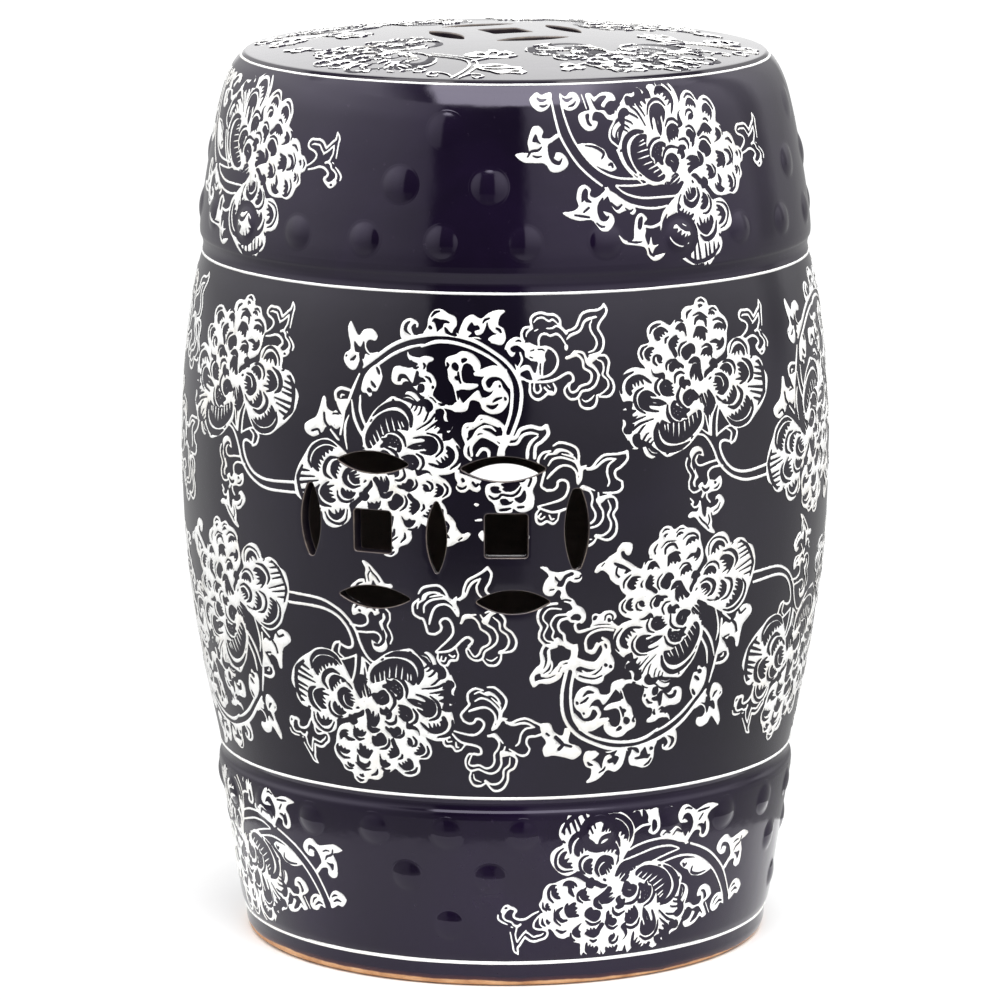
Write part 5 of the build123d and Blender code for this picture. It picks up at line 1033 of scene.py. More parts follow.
SPRAY = [
    ("W", [(-80.58, 39.8), (-77.14, 42.3), (-74.61, 41.1), (-71.62, 42), (-69.27, 41.8), (-70.18, 37.1), (-72.53, 34.3), (-76.05, 33.4), (-79.31, 35.4), (-80.85, 38)], None),
    ("d", [(-77.05, 39.6), (-75.06, 38.4), (-72.35, 38.9)], [0.52, 1.04, 0.52]),
    ("d", [(-75.78, 36.2), (-74.06, 35.8), (-71.89, 36.5)], [0.43, 0.87, 0.43]),
    ("W", [(-65.11, 41.7), (-62.4, 40.1), (-59.5, 42), (-56.16, 41.5), (-54.71, 38.4), (-56.7, 35.1), (-60.05, 33.6), (-63.21, 34.3), (-65.11, 37)], None),
    ("d", [(-63.85, 39.4), (-61.67, 38.3), (-58.6, 39.3)], [0.52, 1.04, 0.52]),
    ("d", [(-61.13, 35.5), (-58.6, 36.2), (-57.06, 37.9)], [0.43, 0.87, 0.43]),
    ("w", [(-69.81, 38.6), (-68.37, 30.3), (-66.38, 22.6), (-63.21, 16.3), (-58.24, 8.9), (-52.54, 3.1), (-46.57, -1.7)], [1.21, 1.47, 1.47, 1.47, 1.47, 1.39, 1.3]),
    ("w", [(-64.93, 37), (-63.48, 30.5), (-60.68, 22.5), (-57.15, 16.1), (-52, 9.5), (-46.21, 4.8), (-38.16, 1.5), (-24.96, 0.4)], [1.21, 1.3, 1.3, 1.3, 1.3, 1.3, 1.21, 1.04]),
    ("w", [(-45.04, -2.9), (-39.43, -7), (-32.47, -11.3), (-24.24, -13.4), (-17.82, -13.7), (-13.11, -13)], [1.04, 1.21, 1.3, 1.3, 1.21, 1.04]),
    ("w", [(-39.43, -2.5), (-34.73, -6), (-27.67, -8.3), (-19.99, -8.8), (-7.14, -8.7)], [0.87, 1.21, 1.21, 1.21, 1.04]),
    ("w", [(-39.43, -2), (-32.65, -2.4), (-25.32, -2.3), (-20.98, -1.4)], [0.87, 1.13, 1.04, 0.87]),
    ("W", [(-15.74, -15.9), (-12.57, -12.9), (-9.5, -10.2), (-6.33, -8.5), (-7.51, -11.7), (-8.77, -15.6), (-11.03, -14.6), (-13.84, -16.1), (-16.01, -20), (-17.36, -19.9)], None),
    ("W", [(-57.42, 18), (-50.91, 18.3), (-46.66, 16.5), (-44.13, 14.8), (-42.41, 11.1), (-40.6, 9.5), (-38.52, 6), (-41.51, 4.6), (-44.04, 5.5), (-48.29, 7.3), (-53.26, 11.2), (-56.52, 15)], None),
    ("d", [(-53.81, 17.3), (-48.65, 16.3), (-44.76, 13.6), (-45.76, 11)], [0.43, 0.87, 1.04, 0.69]),
    ("d", [(-42.5, 7.7), (-41.06, 8.2), (-40.42, 6.6)], [0.69, 1.21, 0.69]),
    ("W", [(-81.48, 22.8), (-79.76, 26.5), (-76.51, 26.9), (-74.52, 24.5), (-75.24, 21.6), (-71.53, 21.1), (-67.73, 23.3), (-66.92, 21.5), (-70.45, 19.1), (-71.53, 14.8), (-69.63, 12.2), (-68.37, 14.5), (-64.84, 13.7), (-62.58, 9.7), (-64.57, 6.5), (-68.64, 5), (-71.62, 5.8), (-74.06, 9.1), (-78.59, 9.6), (-84.37, 10), (-88.53, 13.4), (-85.28, 14.5), (-81.93, 14.8), (-82.38, 19)], None),
    ("D", [(-80.03, 19.9), (-78.31, 23.1), (-77.14, 20.2), (-75.69, 18.4), (-78.04, 19.4)], None),
    ("d", [(-82.38, 12.7), (-80.67, 15), (-77.23, 15.6), (-75.69, 17)], [0.69, 0.87, 0.87, 0.52]),
    ("d", [(-79.85, 13), (-77.86, 12.4), (-75.69, 12.7)], [0.43, 0.69, 0.43]),
    ("D", [(-72.35, 17.9), (-69.54, 19), (-70.18, 15.6), (-69.81, 11.8), (-67.19, 10.3), (-65.56, 12), (-66.92, 8.6), (-70.36, 9.8), (-72.16, 13.3)], None),
    ("W", [(-59.41, -7.4), (-58.24, -2.5), (-55.07, -0.9), (-52.09, -3.1), (-52.81, -5.8), (-49.74, -7.2), (-45.85, -4.6), (-43.68, -2.3), (-42.77, -5.4), (-46.12, -8.8), (-48.02, -13.1), (-45.04, -14), (-41.96, -15.5), (-41.33, -19.4), (-44.58, -23), (-48.11, -22.8), (-50.55, -19.8), (-52.81, -17.6), (-57.97, -17.9), (-62.85, -16.5), (-66.29, -13.8), (-61.13, -13.1), (-58.6, -11.1)], None),
    ("D", [(-56.97, -9.2), (-56.61, -4.9), (-54.89, -2.8), (-53.72, -4.2), (-53.9, -7.4), (-51.91, -9.4), (-54.62, -9.1), (-55.43, -8.1)], None),
    ("d", [(-60.5, -15.1), (-57.24, -15.7), (-53.45, -16.4)], [0.52, 0.87, 0.69]),
    ("D", [(-49.47, -13.7), (-48.74, -10), (-46.21, -7.4), (-47.21, -12.5), (-45.31, -16.1), (-43.59, -16.1), (-45.22, -18.4), (-47.93, -17.8)], None),
    ("d", [(-50.01, -19.3), (-48.02, -20.9), (-46.21, -21)], [0.52, 0.78, 0.52]),
    ("d", [(-55.98, -13.8), (-53.54, -11.9)], [0.69, 0.87]),
    ("W", [(-44.13, -4.2), (-40.15, -5.5), (-35.99, -9), (-31.74, -11.6), (-29.93, -14.2), (-31.92, -16.3), (-35.09, -14.1), (-38.89, -15.2), (-41.51, -12.9), (-43.05, -9.4)], None),
    ("d", [(-42.5, -10), (-39.61, -12.7), (-37.08, -11.2)], [0.52, 1.21, 0.69]),
    ("d", [(-35.36, -12.9), (-33.19, -14.5), (-31.56, -13.6)], [0.43, 0.78, 0.52]),
    ("w", [(-13.66, -14.5), (-16.37, -20.1), (-21.61, -22.5), (-26.68, -21.7)], [1.21, 1.47, 1.47, 1.21]),
    ("W", [(-31.56, -22.7), (-30.2, -17.4), (-27.22, -15.5), (-24.42, -18.3), (-26.41, -20.9), (-25.32, -23.6), (-26.04, -26.7), (-24.42, -30.9), (-22.97, -26.9), (-22.07, -31), (-18.54, -30.8), (-21.34, -32.7), (-22.25, -36), (-15.92, -35.3), (-18.72, -38.1), (-22.25, -38.6), (-25.14, -35.9), (-26.59, -32), (-32.1, -30.6), (-37.26, -29.4), (-39.7, -25), (-35.99, -28), (-32.19, -27.8)], None),
    ("D", [(-29.57, -21.9), (-28.85, -18.3), (-26.95, -17.3), (-27.13, -20.9), (-28.21, -23.3)], None),
    ("d", [(-34.82, -28.7), (-31.11, -29.3), (-27.94, -29.2)], [0.43, 0.78, 0.52]),
    ("d", [(-24.51, -32.5), (-23.69, -35), (-21.88, -36.5)], [0.52, 0.87, 0.52]),
    ("W", [(-51.64, 40.8), (-48.56, 41.3), (-46.84, 39.6), (-42.41, 41.5), (-36.81, 40.9), (-35.72, 37.6), (-39.61, 37.2), (-42.23, 34.3), (-40.06, 31), (-34.82, 32.5), (-36.62, 28.8), (-41.24, 29), (-43.95, 32), (-47.93, 32.6), (-49.38, 29.3), (-46.57, 28.1), (-48.56, 24.6), (-52.45, 24.1), (-55.8, 27.1), (-56.52, 31.3), (-53.45, 33.2), (-50.37, 33.8), (-51, 36.9)], None),
    ("D", [(-49.1, 39.6), (-47.48, 37.3), (-44.13, 39.5), (-40.24, 39.6), (-44.13, 35.6), (-40.6, 33.9), (-38.16, 33.8), (-40.24, 32.1), (-42.86, 33.5), (-46.21, 33.6), (-47.75, 35.8)], None),
    ("D", [(-52.81, 31.2), (-50.91, 31.9), (-51.18, 28.7), (-49.65, 26.3), (-51.91, 27.2)], None),
    ("w", [(-53.63, 40.8), (-52.72, 37.4), (-51.91, 34.3)], [0.78, 0.95, 0.78]),
    ("w", [(-37.62, 28.5), (-40.69, 23.5), (-40.69, 19.5), (-36.99, 16.1)], [1.04, 1.3, 1.3, 1.04]),
    ("w", [(-37.8, 14.6), (-34.91, 8), (-30.84, 2.9), (-25.68, -1.5)], [0.87, 1.13, 1.04, 0.87]),
    ("w", [(-33.37, 15.1), (-32.19, 7.8), (-25.5, 0.2)], [0.87, 1.13, 1.04]),
]
SCROLL2 = [
    ("w", [(-19.8, 10.6), (-17.7, 13.5), (-13.3, 14.9), (-9.2, 14.9), (-6.6, 12.4), (-5, 9.2), (-2.6, 7.3)], [0.93, 1.39, 1.39, 1.39, 1.39, 1.39, 1.23]),
    ("W", [(-3, 8.2), (-0.6, 10.2), (-1.1, 7), (-0.2, 4.7), (0.5, 2.5), (0.1, -0.2), (-0.6, 0.1), (-1.5, 3.2), (-2.3, 5.4)], None),
    ("W", [(-18.2, 7.4), (-17.8, 10), (-15, 11.8), (-11.5, 12.2), (-8.8, 11.6), (-9.6, 10.8), (-12.5, 11), (-15.2, 9.8), (-16.3, 7.8)], None),
    ("w", [(-14.3, 9.2), (-11, 10), (-7.9, 10.4), (-6.3, 9.3)], [0.62, 1.08, 1.08, 0.62]),
    ("w", [(-19.7, 7.9), (-22.6, 5), (-22.5, 0.7), (-19.5, -1.5), (-17.5, -2.1), (-16.4, -5.9), (-15.3, -8.9), (-12, -9.4)], [1.08, 1.39, 1.39, 1.39, 1.39, 1.39, 1.39, 1.39]),
    ("w", [(-12, -9.4), (-9.4, -7.7), (-8.6, -5.5), (-9.4, -3.3), (-7.7, -1.4), (-5, -1.5), (-3.1, -5), (-3.8, -10), (-12, -18.2)], [1.39, 1.39, 1.39, 1.39, 1.39, 1.39, 1.39, 1.39, 0.93]),
    ("w", [(-20.5, 3.1), (-20.1, 5.7), (-18.5, 6.9), (-17.1, 7.7)], [0.77, 1.08, 1.08, 0.93]),
    ("D", [(-20.3, 2.3), (-18.3, 2.7), (-17.6, 0.9), (-19, 0.1)], None),
    ("w", [(-17.3, 1.3), (-16.9, 4.8), (-14, 7.4), (-10.2, 8.5), (-6.5, 8.7), (-3.5, 6.6), (-1.7, 4.1)], [0.93, 1.23, 1.23, 1.23, 1.23, 1.08, 0.93]),
    ("w", [(-14.7, -4.3), (-14, -1.2), (-12.6, 2.7), (-10.3, 5.1), (-6.8, 5.9), (-3.7, 4.6), (-0.7, 0.4)], [1.08, 1.54, 1.39, 1.23, 1.23, 1.23, 1.08]),
    ("w", [(-1.2, 8.1), (1.9, 10), (2.7, 14), (4.5, 18), (8.7, 20.6), (11.9, 22.6), (14.1, 24.6)], [0.93, 1.39, 1.39, 1.39, 1.39, 1.39, 1.7]),
    ("w", [(14.1, 24.6), (16, 21.6), (15, 17.2), (13.2, 13.7), (15.1, 11.3), (18.8, 11)], [1.7, 1.39, 1.39, 1.39, 1.39, 1.08]),
    ("w", [(0.4, 8), (3.4, 10.5), (5.2, 14.8), (7.2, 17.3), (10.6, 19)], [0.77, 1.23, 1.39, 1.39, 1.08]),
    ("w", [(10.3, 18.2), (8.8, 14.9), (9.8, 11.4), (12.9, 8.1), (13.3, 5.8)], [0.93, 1.23, 1.23, 1.23, 0.93]),
    ("w", [(18.8, 11), (20.3, 8.1), (18.8, 5.1), (12.9, 2.1)], [1.08, 1.39, 1.39, 0.93]),
    ("w", [(1.1, -3.2), (3, -0.7), (7, -0.4), (9.5, -2.8), (10.7, -5.9), (14, -8.1), (15.3, -11), (14.3, -13.8), (11.2, -15.7), (9.5, -18.9), (7.3, -19.9), (4.6, -16.2)], [1.54, 1.39, 1.23, 1.23, 1.23, 1.23, 1.23, 1.23, 1.23, 1.23, 1.08, 0.93]),
    ("w", [(1.2, -2.6), (2.7, 0.5), (8.4, 1.1)], [0.93, 1.23, 0.93]),
    ("w", [(10.6, 1), (12.8, -2.2), (14.3, -4.1), (17, -5.8), (18.8, -9.2), (18.3, -12.7), (15.9, -15.2), (12.6, -17.4), (11.2, -21), (8.1, -22), (4.8, -20.2), (3.4, -16.8), (5.2, -14.8)], [0.93, 1.23, 1.39, 1.23, 1.23, 1.23, 1.23, 1.23, 1.23, 1.23, 1.23, 1.08, 0.93]),
    ("W", [(11, -2.2), (12.9, 0.4), (16.1, 2.9), (18.2, 2), (15.8, 0.3), (14.6, -2.6), (12.8, -3.9)], None),
    ("w", [(16.1, 2.5), (19.8, 2.2), (22.5, -1.2), (22.5, -4.9), (26.1, -7.9), (28.1, -12.6), (26.1, -16.9), (19.4, -18.1)], [1.08, 1.39, 1.39, 1.39, 1.39, 1.39, 1.39, 1.08]),
    ("w", [(16.7, 0), (19.7, -2.7), (20.3, -6.4), (23.4, -8.9), (24.5, -12.5), (22.8, -16), (19.5, -17.4)], [0.77, 1.23, 1.23, 1.23, 1.23, 1.23, 0.93]),
    ("w", [(11.6, -21.6), (14.2, -24.2), (18.1, -24.2), (20.3, -21.5), (20.6, -18.4)], [0.93, 1.39, 1.39, 1.39, 0.93]),
    ("w", [(13.2, -21.1), (15.9, -22), (18.9, -20)], [0.62, 1.08, 0.62]),
    ("w", [(-11.7, -18.5), (-5.5, -17.6), (-2.1, -15.5), (0.9, -12.4), (3.9, -10.3), (6.5, -11.5), (6, -13.8)], [1.08, 1.39, 1.39, 1.39, 1.39, 1.54, 1.08]),
    ("w", [(6.1, -13.4), (4.5, -14.6)], [1.54, 1.08]),
    ("w", [(-10.8, -19.2), (-10.9, -22), (-8.8, -24.9), (-6.3, -24.8), (-4.7, -22.4), (-1.5, -22), (-0.5, -19.1)], [0.93, 1.39, 1.39, 1.39, 1.39, 1.39, 0.93]),
    ("w", [(-9, -20.4), (-9.3, -22.3), (-7.7, -22.8), (-6.8, -20.9)], [0.93, 1.08, 0.93, 0.93]),
    ("w", [(-5.2, -19.3), (-3.3, -20.5), (-2.3, -19.6)], [0.93, 1.23, 0.77]),
    ("w", [(-0.6, -19.1), (-1.6, -16.1)], [0.77, 1.08]),
]
RING_END = [
    ("W", [(43.6, -72.9), (40.3, -72.4), (38.7, -70.2), (34.6, -68.7), (30.5, -68.9), (27.9, -68.4), (25.1, -66.6), (24.7, -64.1), (26.1, -62.3), (28.9, -62.4), (31, -63.7), (33, -61.7), (33.2, -59), (32.2, -56.2), (30.1, -54.2), (29.1, -51.6), (26.6, -49.6), (25.5, -46.6), (26.1, -43.6), (28.1, -41.9), (29.4, -43.1), (28, -44.9), (28.8, -46.7), (31.1, -47.3), (33.3, -46.1), (35.1, -47.6), (34.2, -49.2), (31.6, -49.9), (32.7, -52.9), (35.2, -54.2), (36.5, -56.7), (35.7, -58.8), (36.9, -60.5), (39.6, -58.2), (42.2, -58.6), (43.9, -60.5), (43.7, -63.2), (42.1, -66), (40.1, -68), (41.6, -70.6)], None),
    ("D", [(37.1, -67.1), (35.2, -64.4), (32.7, -66.7), (30.8, -67.2), (28.9, -67.6), (28.6, -66.1), (32.1, -65.2), (34.5, -61.8), (37, -62.6), (36.2, -64.1), (37.3, -65.7)], None),
    ("d", [(28.1, -64.1), (26, -64), (25.2, -65.1)], [0.55, 0.55]),
    ("d", [(37.1, -54.6), (34.4, -55.1), (31.8, -54.1)], [0.62, 0.62]),
    ("d", [(40.5, -61.2), (38.8, -61)], [0.55, 0.55]),
    ("w", [(38.4, -54.1), (42.2, -54.4), (45.9, -53.5), (48.1, -50.6), (48.4, -47.2), (47.5, -44.1), (48.8, -41.7), (49.3, -39), (48, -36.5), (47, -35.1)], [1.38, 1.38]),
    ("w", [(47.6, -35), (49.3, -32), (48.9, -27.7), (51, -23.2), (54.3, -22.1), (55.2, -19.8), (54.5, -17.4), (50.8, -18.1), (46, -18), (41.8, -20.2), (38.3, -21.9)], [1.52, 1.52]),
    ("w", [(36.9, -51), (40.9, -52.2), (43.6, -51.7), (45.8, -49.3), (45.8, -47.2), (44.3, -44.6), (45.6, -42.3), (47, -39.8), (45.8, -37.1), (43.3, -36)], [0.97, 0.97]),
    ("w", [(34.8, -47.9), (39.3, -48.4), (41.6, -46.8), (42.9, -44.3), (42, -41), (43.1, -38.5), (41.8, -36.5)], [1.1, 1.1]),
    ("w", [(30.3, -43.5), (33.1, -44.3), (34, -45.8), (37.7, -45.7), (39.5, -43.3), (38.9, -40.4), (37.4, -38.6), (37.2, -35.2), (34.5, -32.4), (31.8, -32.2)], [1.24, 1.38, 1.38, 1.52, 1.38, 1.38, 1.52, 1.66, 1.8, 0.97]),
    ("W", [(47.1, -35.5), (43.4, -35.7), (40.9, -37.9), (39, -36.5), (37.6, -33.9), (34.9, -31.7), (31.6, -32.4), (33.4, -30.5), (36.5, -30.9), (39, -33.3), (42.3, -34), (45.4, -33.5)], None),
    ("w", [(41.5, -33.4), (45.5, -32.6), (46.2, -29.3), (45.1, -25.6), (46.5, -22.1), (50, -20.6), (47.5, -19.7), (44.6, -21.9), (42.3, -23.5), (38.1, -23.4)], [1.1, 1.1]),
    ("W", [(32.9, -29), (32.2, -24.9), (31.3, -22.2), (33.6, -20.8), (35, -18.9), (37.1, -21.6), (38.3, -23), (35.6, -24.3)], None),
    ("w", [(29.4, -43.3), (31.4, -42.2), (31.1, -39.3), (29.2, -38.2), (24.4, -38.6), (20.2, -38.8), (14.7, -37.6), (10.9, -36)], [0.97, 1.38, 1.66, 1.66, 1.38, 1.1, 1.38, 1.8]),
    ("W", [(23.1, -41.6), (22.9, -44.5), (20.9, -45.5), (18.7, -44.6), (16.5, -45.5), (13.3, -45.3), (11.1, -43.5), (11, -41), (12.9, -39.5), (10.9, -36.9), (14.6, -38.6), (20, -39.9), (24.3, -39.5)], None),
    ("D", [(22.5, -42.5), (21.8, -44.2), (20.2, -44), (21.1, -42.4)], None),
    ("d", [(16.8, -41.2), (16.1, -43.2), (13.9, -43.5), (12.7, -42.1), (13.2, -40.1)], [0.55, 0.55]),
    ("d", [(14.8, -41), (14.6, -40.3)], [1.1, 1.1]),
    ("w", [(13.3, -35.3), (17.6, -36.7), (21.8, -36.9), (25.5, -35.7), (27.5, -33.1), (27.7, -29.6), (26.2, -27), (24.1, -26.6), (22.5, -28.4), (20.4, -30.4), (17.6, -30.1), (16.3, -27.6), (16.2, -25.2)], [1.31, 1.31]),
    ("w", [(22.2, -29.6), (19.9, -29.8), (18.5, -26.7), (19.7, -24.2), (21.3, -22.9), (23.8, -20.2), (27.5, -19.8), (31.5, -21.8)], [1.1, 1.1]),
    ("W", [(16.4, -23.4), (15.3, -20.3), (15.3, -17.4), (17.3, -15.1), (20.4, -13.7), (21.4, -11.4), (24.3, -10.6), (27.8, -11.6), (29.7, -13.7), (33.1, -14.5), (34.2, -16.9), (34.1, -19.7), (31.9, -18.5), (28.6, -16.7), (25.2, -15.5), (22.2, -16.3), (20.4, -20.1), (19.4, -22.7)], None),
    ("d", [(19.3, -19.3), (18.8, -18.8)], [1.04, 1.04]),
    ("d", [(16.9, -18), (16.6, -17.5)], [1.04, 1.04]),
    ("d", [(32.8, -16.8), (29.5, -15), (25.4, -13.7), (21.7, -14.3)], [0.55, 0.55]),
]
RING_LEAF = [
    ("W", [(-47.4, -26.3), (-48.7, -26.9), (-54.6, -21.3), (-57.2, -24.1), (-62.4, -26.6), (-67.1, -24.6), (-67.8, -21.1), (-64.8, -18.8), (-61.2, -16.7), (-59.3, -12.3), (-57.7, -6.9), (-55.8, -7.1), (-55.1, -11.2), (-52.4, -13.3), (-46.9, -14.6), (-47.1, -20.4), (-50.3, -19.8), (-52.8, -20.9)], None),
    ("d", [(-53.2, -21.6), (-55.8, -18.4), (-56.5, -14.7)], [0.96, 0.96]),
    ("d", [(-58.2, -25.1), (-59.7, -22.8), (-63.2, -23.8)], [0.8, 0.8]),
    ("d", [(-48, -14.3), (-51.3, -14.5)], [0.64, 0.64]),
]
LEAF2 = [
    ("W", [(-36.2, 41.9), (-33.1, 43.8), (-28.9, 43.7), (-26, 44.4), (-22.1, 44.4), (-20.6, 45.6), (-16.9, 46.7), (-13.1, 44.1), (-13.8, 41.5), (-16.6, 39.2), (-18.4, 40.4), (-18.3, 42.6), (-20, 42.9), (-20.5, 39.9), (-18.3, 35.8), (-15.8, 30.6), (-12.9, 27.7), (-14.1, 24.1), (-22.1, 20.7), (-26, 23.4), (-26.6, 27.3), (-29.6, 29.7), (-31.2, 33.9), (-30.8, 36.2), (-32.4, 40.3), (-35.3, 40.5)], None),
    ("D", [(-25.8, 40.6), (-23.1, 38.1), (-20.5, 33.8), (-19.9, 30.6), (-23.7, 32.6), (-22.1, 33.8), (-24.7, 36.9)], None),
    ("d", [(-25.5, 37.1), (-27.2, 34.8), (-26.7, 32.5)], [0.9, 0.9]),
    ("d", [(-31.7, 42.2), (-29.6, 42.9)], [0.53, 0.53]),
]
CORNER = [
    ("W", [(50.5, 136.2), (55.6, 136.6), (57.7, 132.5), (62, 130.1), (63.4, 134), (66.3, 132.2), (65.9, 126.5), (71.5, 123.9), (72.9, 120.3), (68.8, 117.3), (64, 118.5), (58, 119.8), (53.3, 119.4), (52, 123.5), (53.7, 126.9), (51.5, 130.4)], None),
    ("d", [(58.7, 129.3), (62.4, 125.5), (60.7, 123)], [1.34, 1.34]),
    ("d", [(62.4, 125.5), (67.2, 124.1)], [0.9, 0.9]),
    ("d", [(52.9, 132.2), (55.2, 130.3)], [0.67, 0.67]),
]
UNDER = [
    ("W", [(8.5, 262.2), (10.6, 263), (11, 261.5), (14.7, 260.1), (18.8, 258.7), (21.1, 257.8), (20.3, 256.1), (20.9, 254), (19.3, 252.3), (17, 252.8), (15.3, 253.7), (13.7, 252.2), (11.2, 251.9), (9.2, 253.2), (8.8, 255), (9.7, 256.5), (8.5, 258.8)], None),
    ("D", [(9.2, 255.5), (10.6, 254.7), (12.3, 254.4), (14.1, 255.5), (13.7, 254.1), (12.1, 253.3), (10.3, 253.7)], None),
    ("d", [(12.1, 258.3), (12.5, 257.6)], [1.11, 1.11]),
    ("d", [(17, 256.9), (18.5, 255.2), (19.5, 256.1)], [0.86, 0.86]),
    ("W", [(24.6, 256.4), (28.6, 257), (39.6, 257), (42, 257.9), (43.7, 260.2), (47.2, 260.2), (47.5, 257.3), (45.6, 253.2), (46.4, 250.2), (46, 245.5), (44.4, 243.6), (41.4, 242.5), (38.5, 242.9), (36.3, 244.3), (35.6, 242.5), (32.1, 242.2), (28.6, 242.5), (27.5, 244.9), (26.9, 246.8), (24.6, 248.5), (23.2, 250.9), (22.8, 253.2), (23.2, 255.3)], None),
    ("D", [(25.4, 254.3), (26.9, 255.2), (29.6, 254.8), (29.3, 253.5), (30.8, 252.6), (28.6, 251.7), (26.3, 252.4)], None),
    ("D", [(30.7, 256.4), (39.1, 256.7), (38.4, 254.7), (36.2, 252.9), (33.2, 252.6), (31.1, 253.9), (32.1, 254.7)], None),
    ("d", [(24.8, 250.6), (26.9, 249.2), (29.2, 249.6), (30.7, 251.1), (33.8, 250.7), (36.7, 250.9), (38.8, 252.6), (39.9, 254.9)], [0.49, 0.86, 0.86, 0.86, 0.86, 0.86, 0.86, 0.49]),
    ("D", [(36.9, 249.3), (39.6, 250.3), (41.4, 253.2), (42.3, 251.7), (42, 248.7), (40.2, 247.2), (38.5, 247.6)], None),
    ("D", [(30.1, 248.7), (33, 249.1), (34.4, 247.6), (36.3, 248.2), (35.6, 247), (33.6, 246.1), (31, 246.3)], None),
    ("D", [(29.8, 244.1), (34.8, 244.8), (35.1, 244.1), (32.7, 243.2), (30.1, 243.2)], None),
    ("D", [(38.1, 245.4), (41.4, 245.6), (41.5, 244.9), (39.1, 244.4)], None),
    ("d", [(44.4, 259.7), (44.7, 258.2), (43.6, 255.3)], [0.8, 0.8]),
    ("W", [(17.4, 246.3), (18.6, 247.1), (20.2, 246.3), (18.8, 245.2)], None),
    ("W", [(18, 238.8), (21.1, 239.5), (21.4, 238.3), (18.3, 238)], None),
    ("W", [(19.5, 231.5), (22, 233.7), (22, 228.2)], None),
    ("W", [(42.7, 234.9), (44.1, 230.1), (42.3, 224.1), (42.7, 230.1)], None),
]
PLATE = [
    ("w", [(-0.5, -127), (2, -117), (3.4, -105), (1.5, -96), (-3, -89), (-12, -84), (-22, -80)], [1.5, 1.5, 1.4, 1.3, 1.2, 1.1]),
    ("w", [(3.2, -126.5), (5.6, -117), (7, -104), (4.8, -93.5), (-1, -86), (-12, -80.6), (-21, -77)], [1.3, 1.4, 1.3, 1.2, 1.1, 1]),
    ("w", [(-0.5, -125), (-4, -119.5), (-9, -116.5), (-13.2, -118.5), (-12.6, -123), (-8.8, -123.6), (-8.4, -120.4)], [1.4, 1.6, 1.6, 1.5, 1.4, 1.2, 0.9]),
    ("w", [(3.2, -125), (7, -118.6), (11.6, -118.4), (14, -122), (11, -125.4), (8.8, -122.8)], [1.4, 1.6, 1.6, 1.5, 1.2, 0.9]),
    ("W", [(5, -103), (9, -100), (14.5, -97), (21, -97.5), (23.5, -100), (29, -101), (29.5, -105), (33, -109), (31, -113.5), (25, -113), (20, -115.5), (15, -112), (10, -109.5)], None),
    ("D", [(9.5, -103.4), (15, -100.6), (20, -100.8), (18, -103.6), (13, -104.4)], None),
    ("D", [(11.5, -106.8), (18, -106.2), (25, -104), (26.4, -106), (20, -109), (14.5, -109.4)], None),
    ("D", [(21.5, -111.4), (26.5, -108.6), (29.6, -109.8), (28.6, -111.4), (25, -111)], None),
    ("w", [(2.5, -93), (7, -86.5), (11.5, -80), (14, -74)], [1.3, 1.4, 1.3, 1]),
    ("W", [(-4.5, -80), (-1, -83.5), (4, -83), (8.5, -84.5), (14, -83.5), (19.5, -80), (21.8, -75.5), (17.6, -75), (18.6, -70), (15, -66.6), (11.6, -69.4), (9.2, -65), (5.2, -66.4), (5.4, -71), (0.6, -70.6), (-1.4, -74.2)], None),
    ("D", [(3, -80.6), (6, -80.4), (4.6, -75.4), (1.4, -75.8)], None),
    ("D", [(8, -79.6), (11, -78.6), (10.4, -71.6), (7.8, -71.2)], None),
    ("D", [(12.8, -80.4), (17.4, -78.6), (15.6, -73), (13, -74.6)], None),
    ("w", [(-16, -88), (-15, -97), (-17.5, -105), (-22, -109)], [1, 1.3, 1.2, 0.8]),
    ("w", [(-20, -108.4), (-16.4, -111.5), (-17.2, -115.5), (-21, -116), (-22, -113)], [1.2, 1.4, 1.3, 1.2, 0.9]),
    ("w", [(-80, -58), (-88, -54), (-95, -51.5)], [1.4, 1.3, 1]),
    ("W", [(-86, -50), (-88.5, -46.5), (-93, -45.5), (-95.5, -48.4), (-100.5, -47.6), (-101, -52), (-97, -54), (-95.6, -57.8), (-91, -58), (-89, -54.4)], None),
    ("D", [(-90, -50.6), (-93.6, -49.4), (-95.4, -51.4), (-92.4, -53)], None),
]


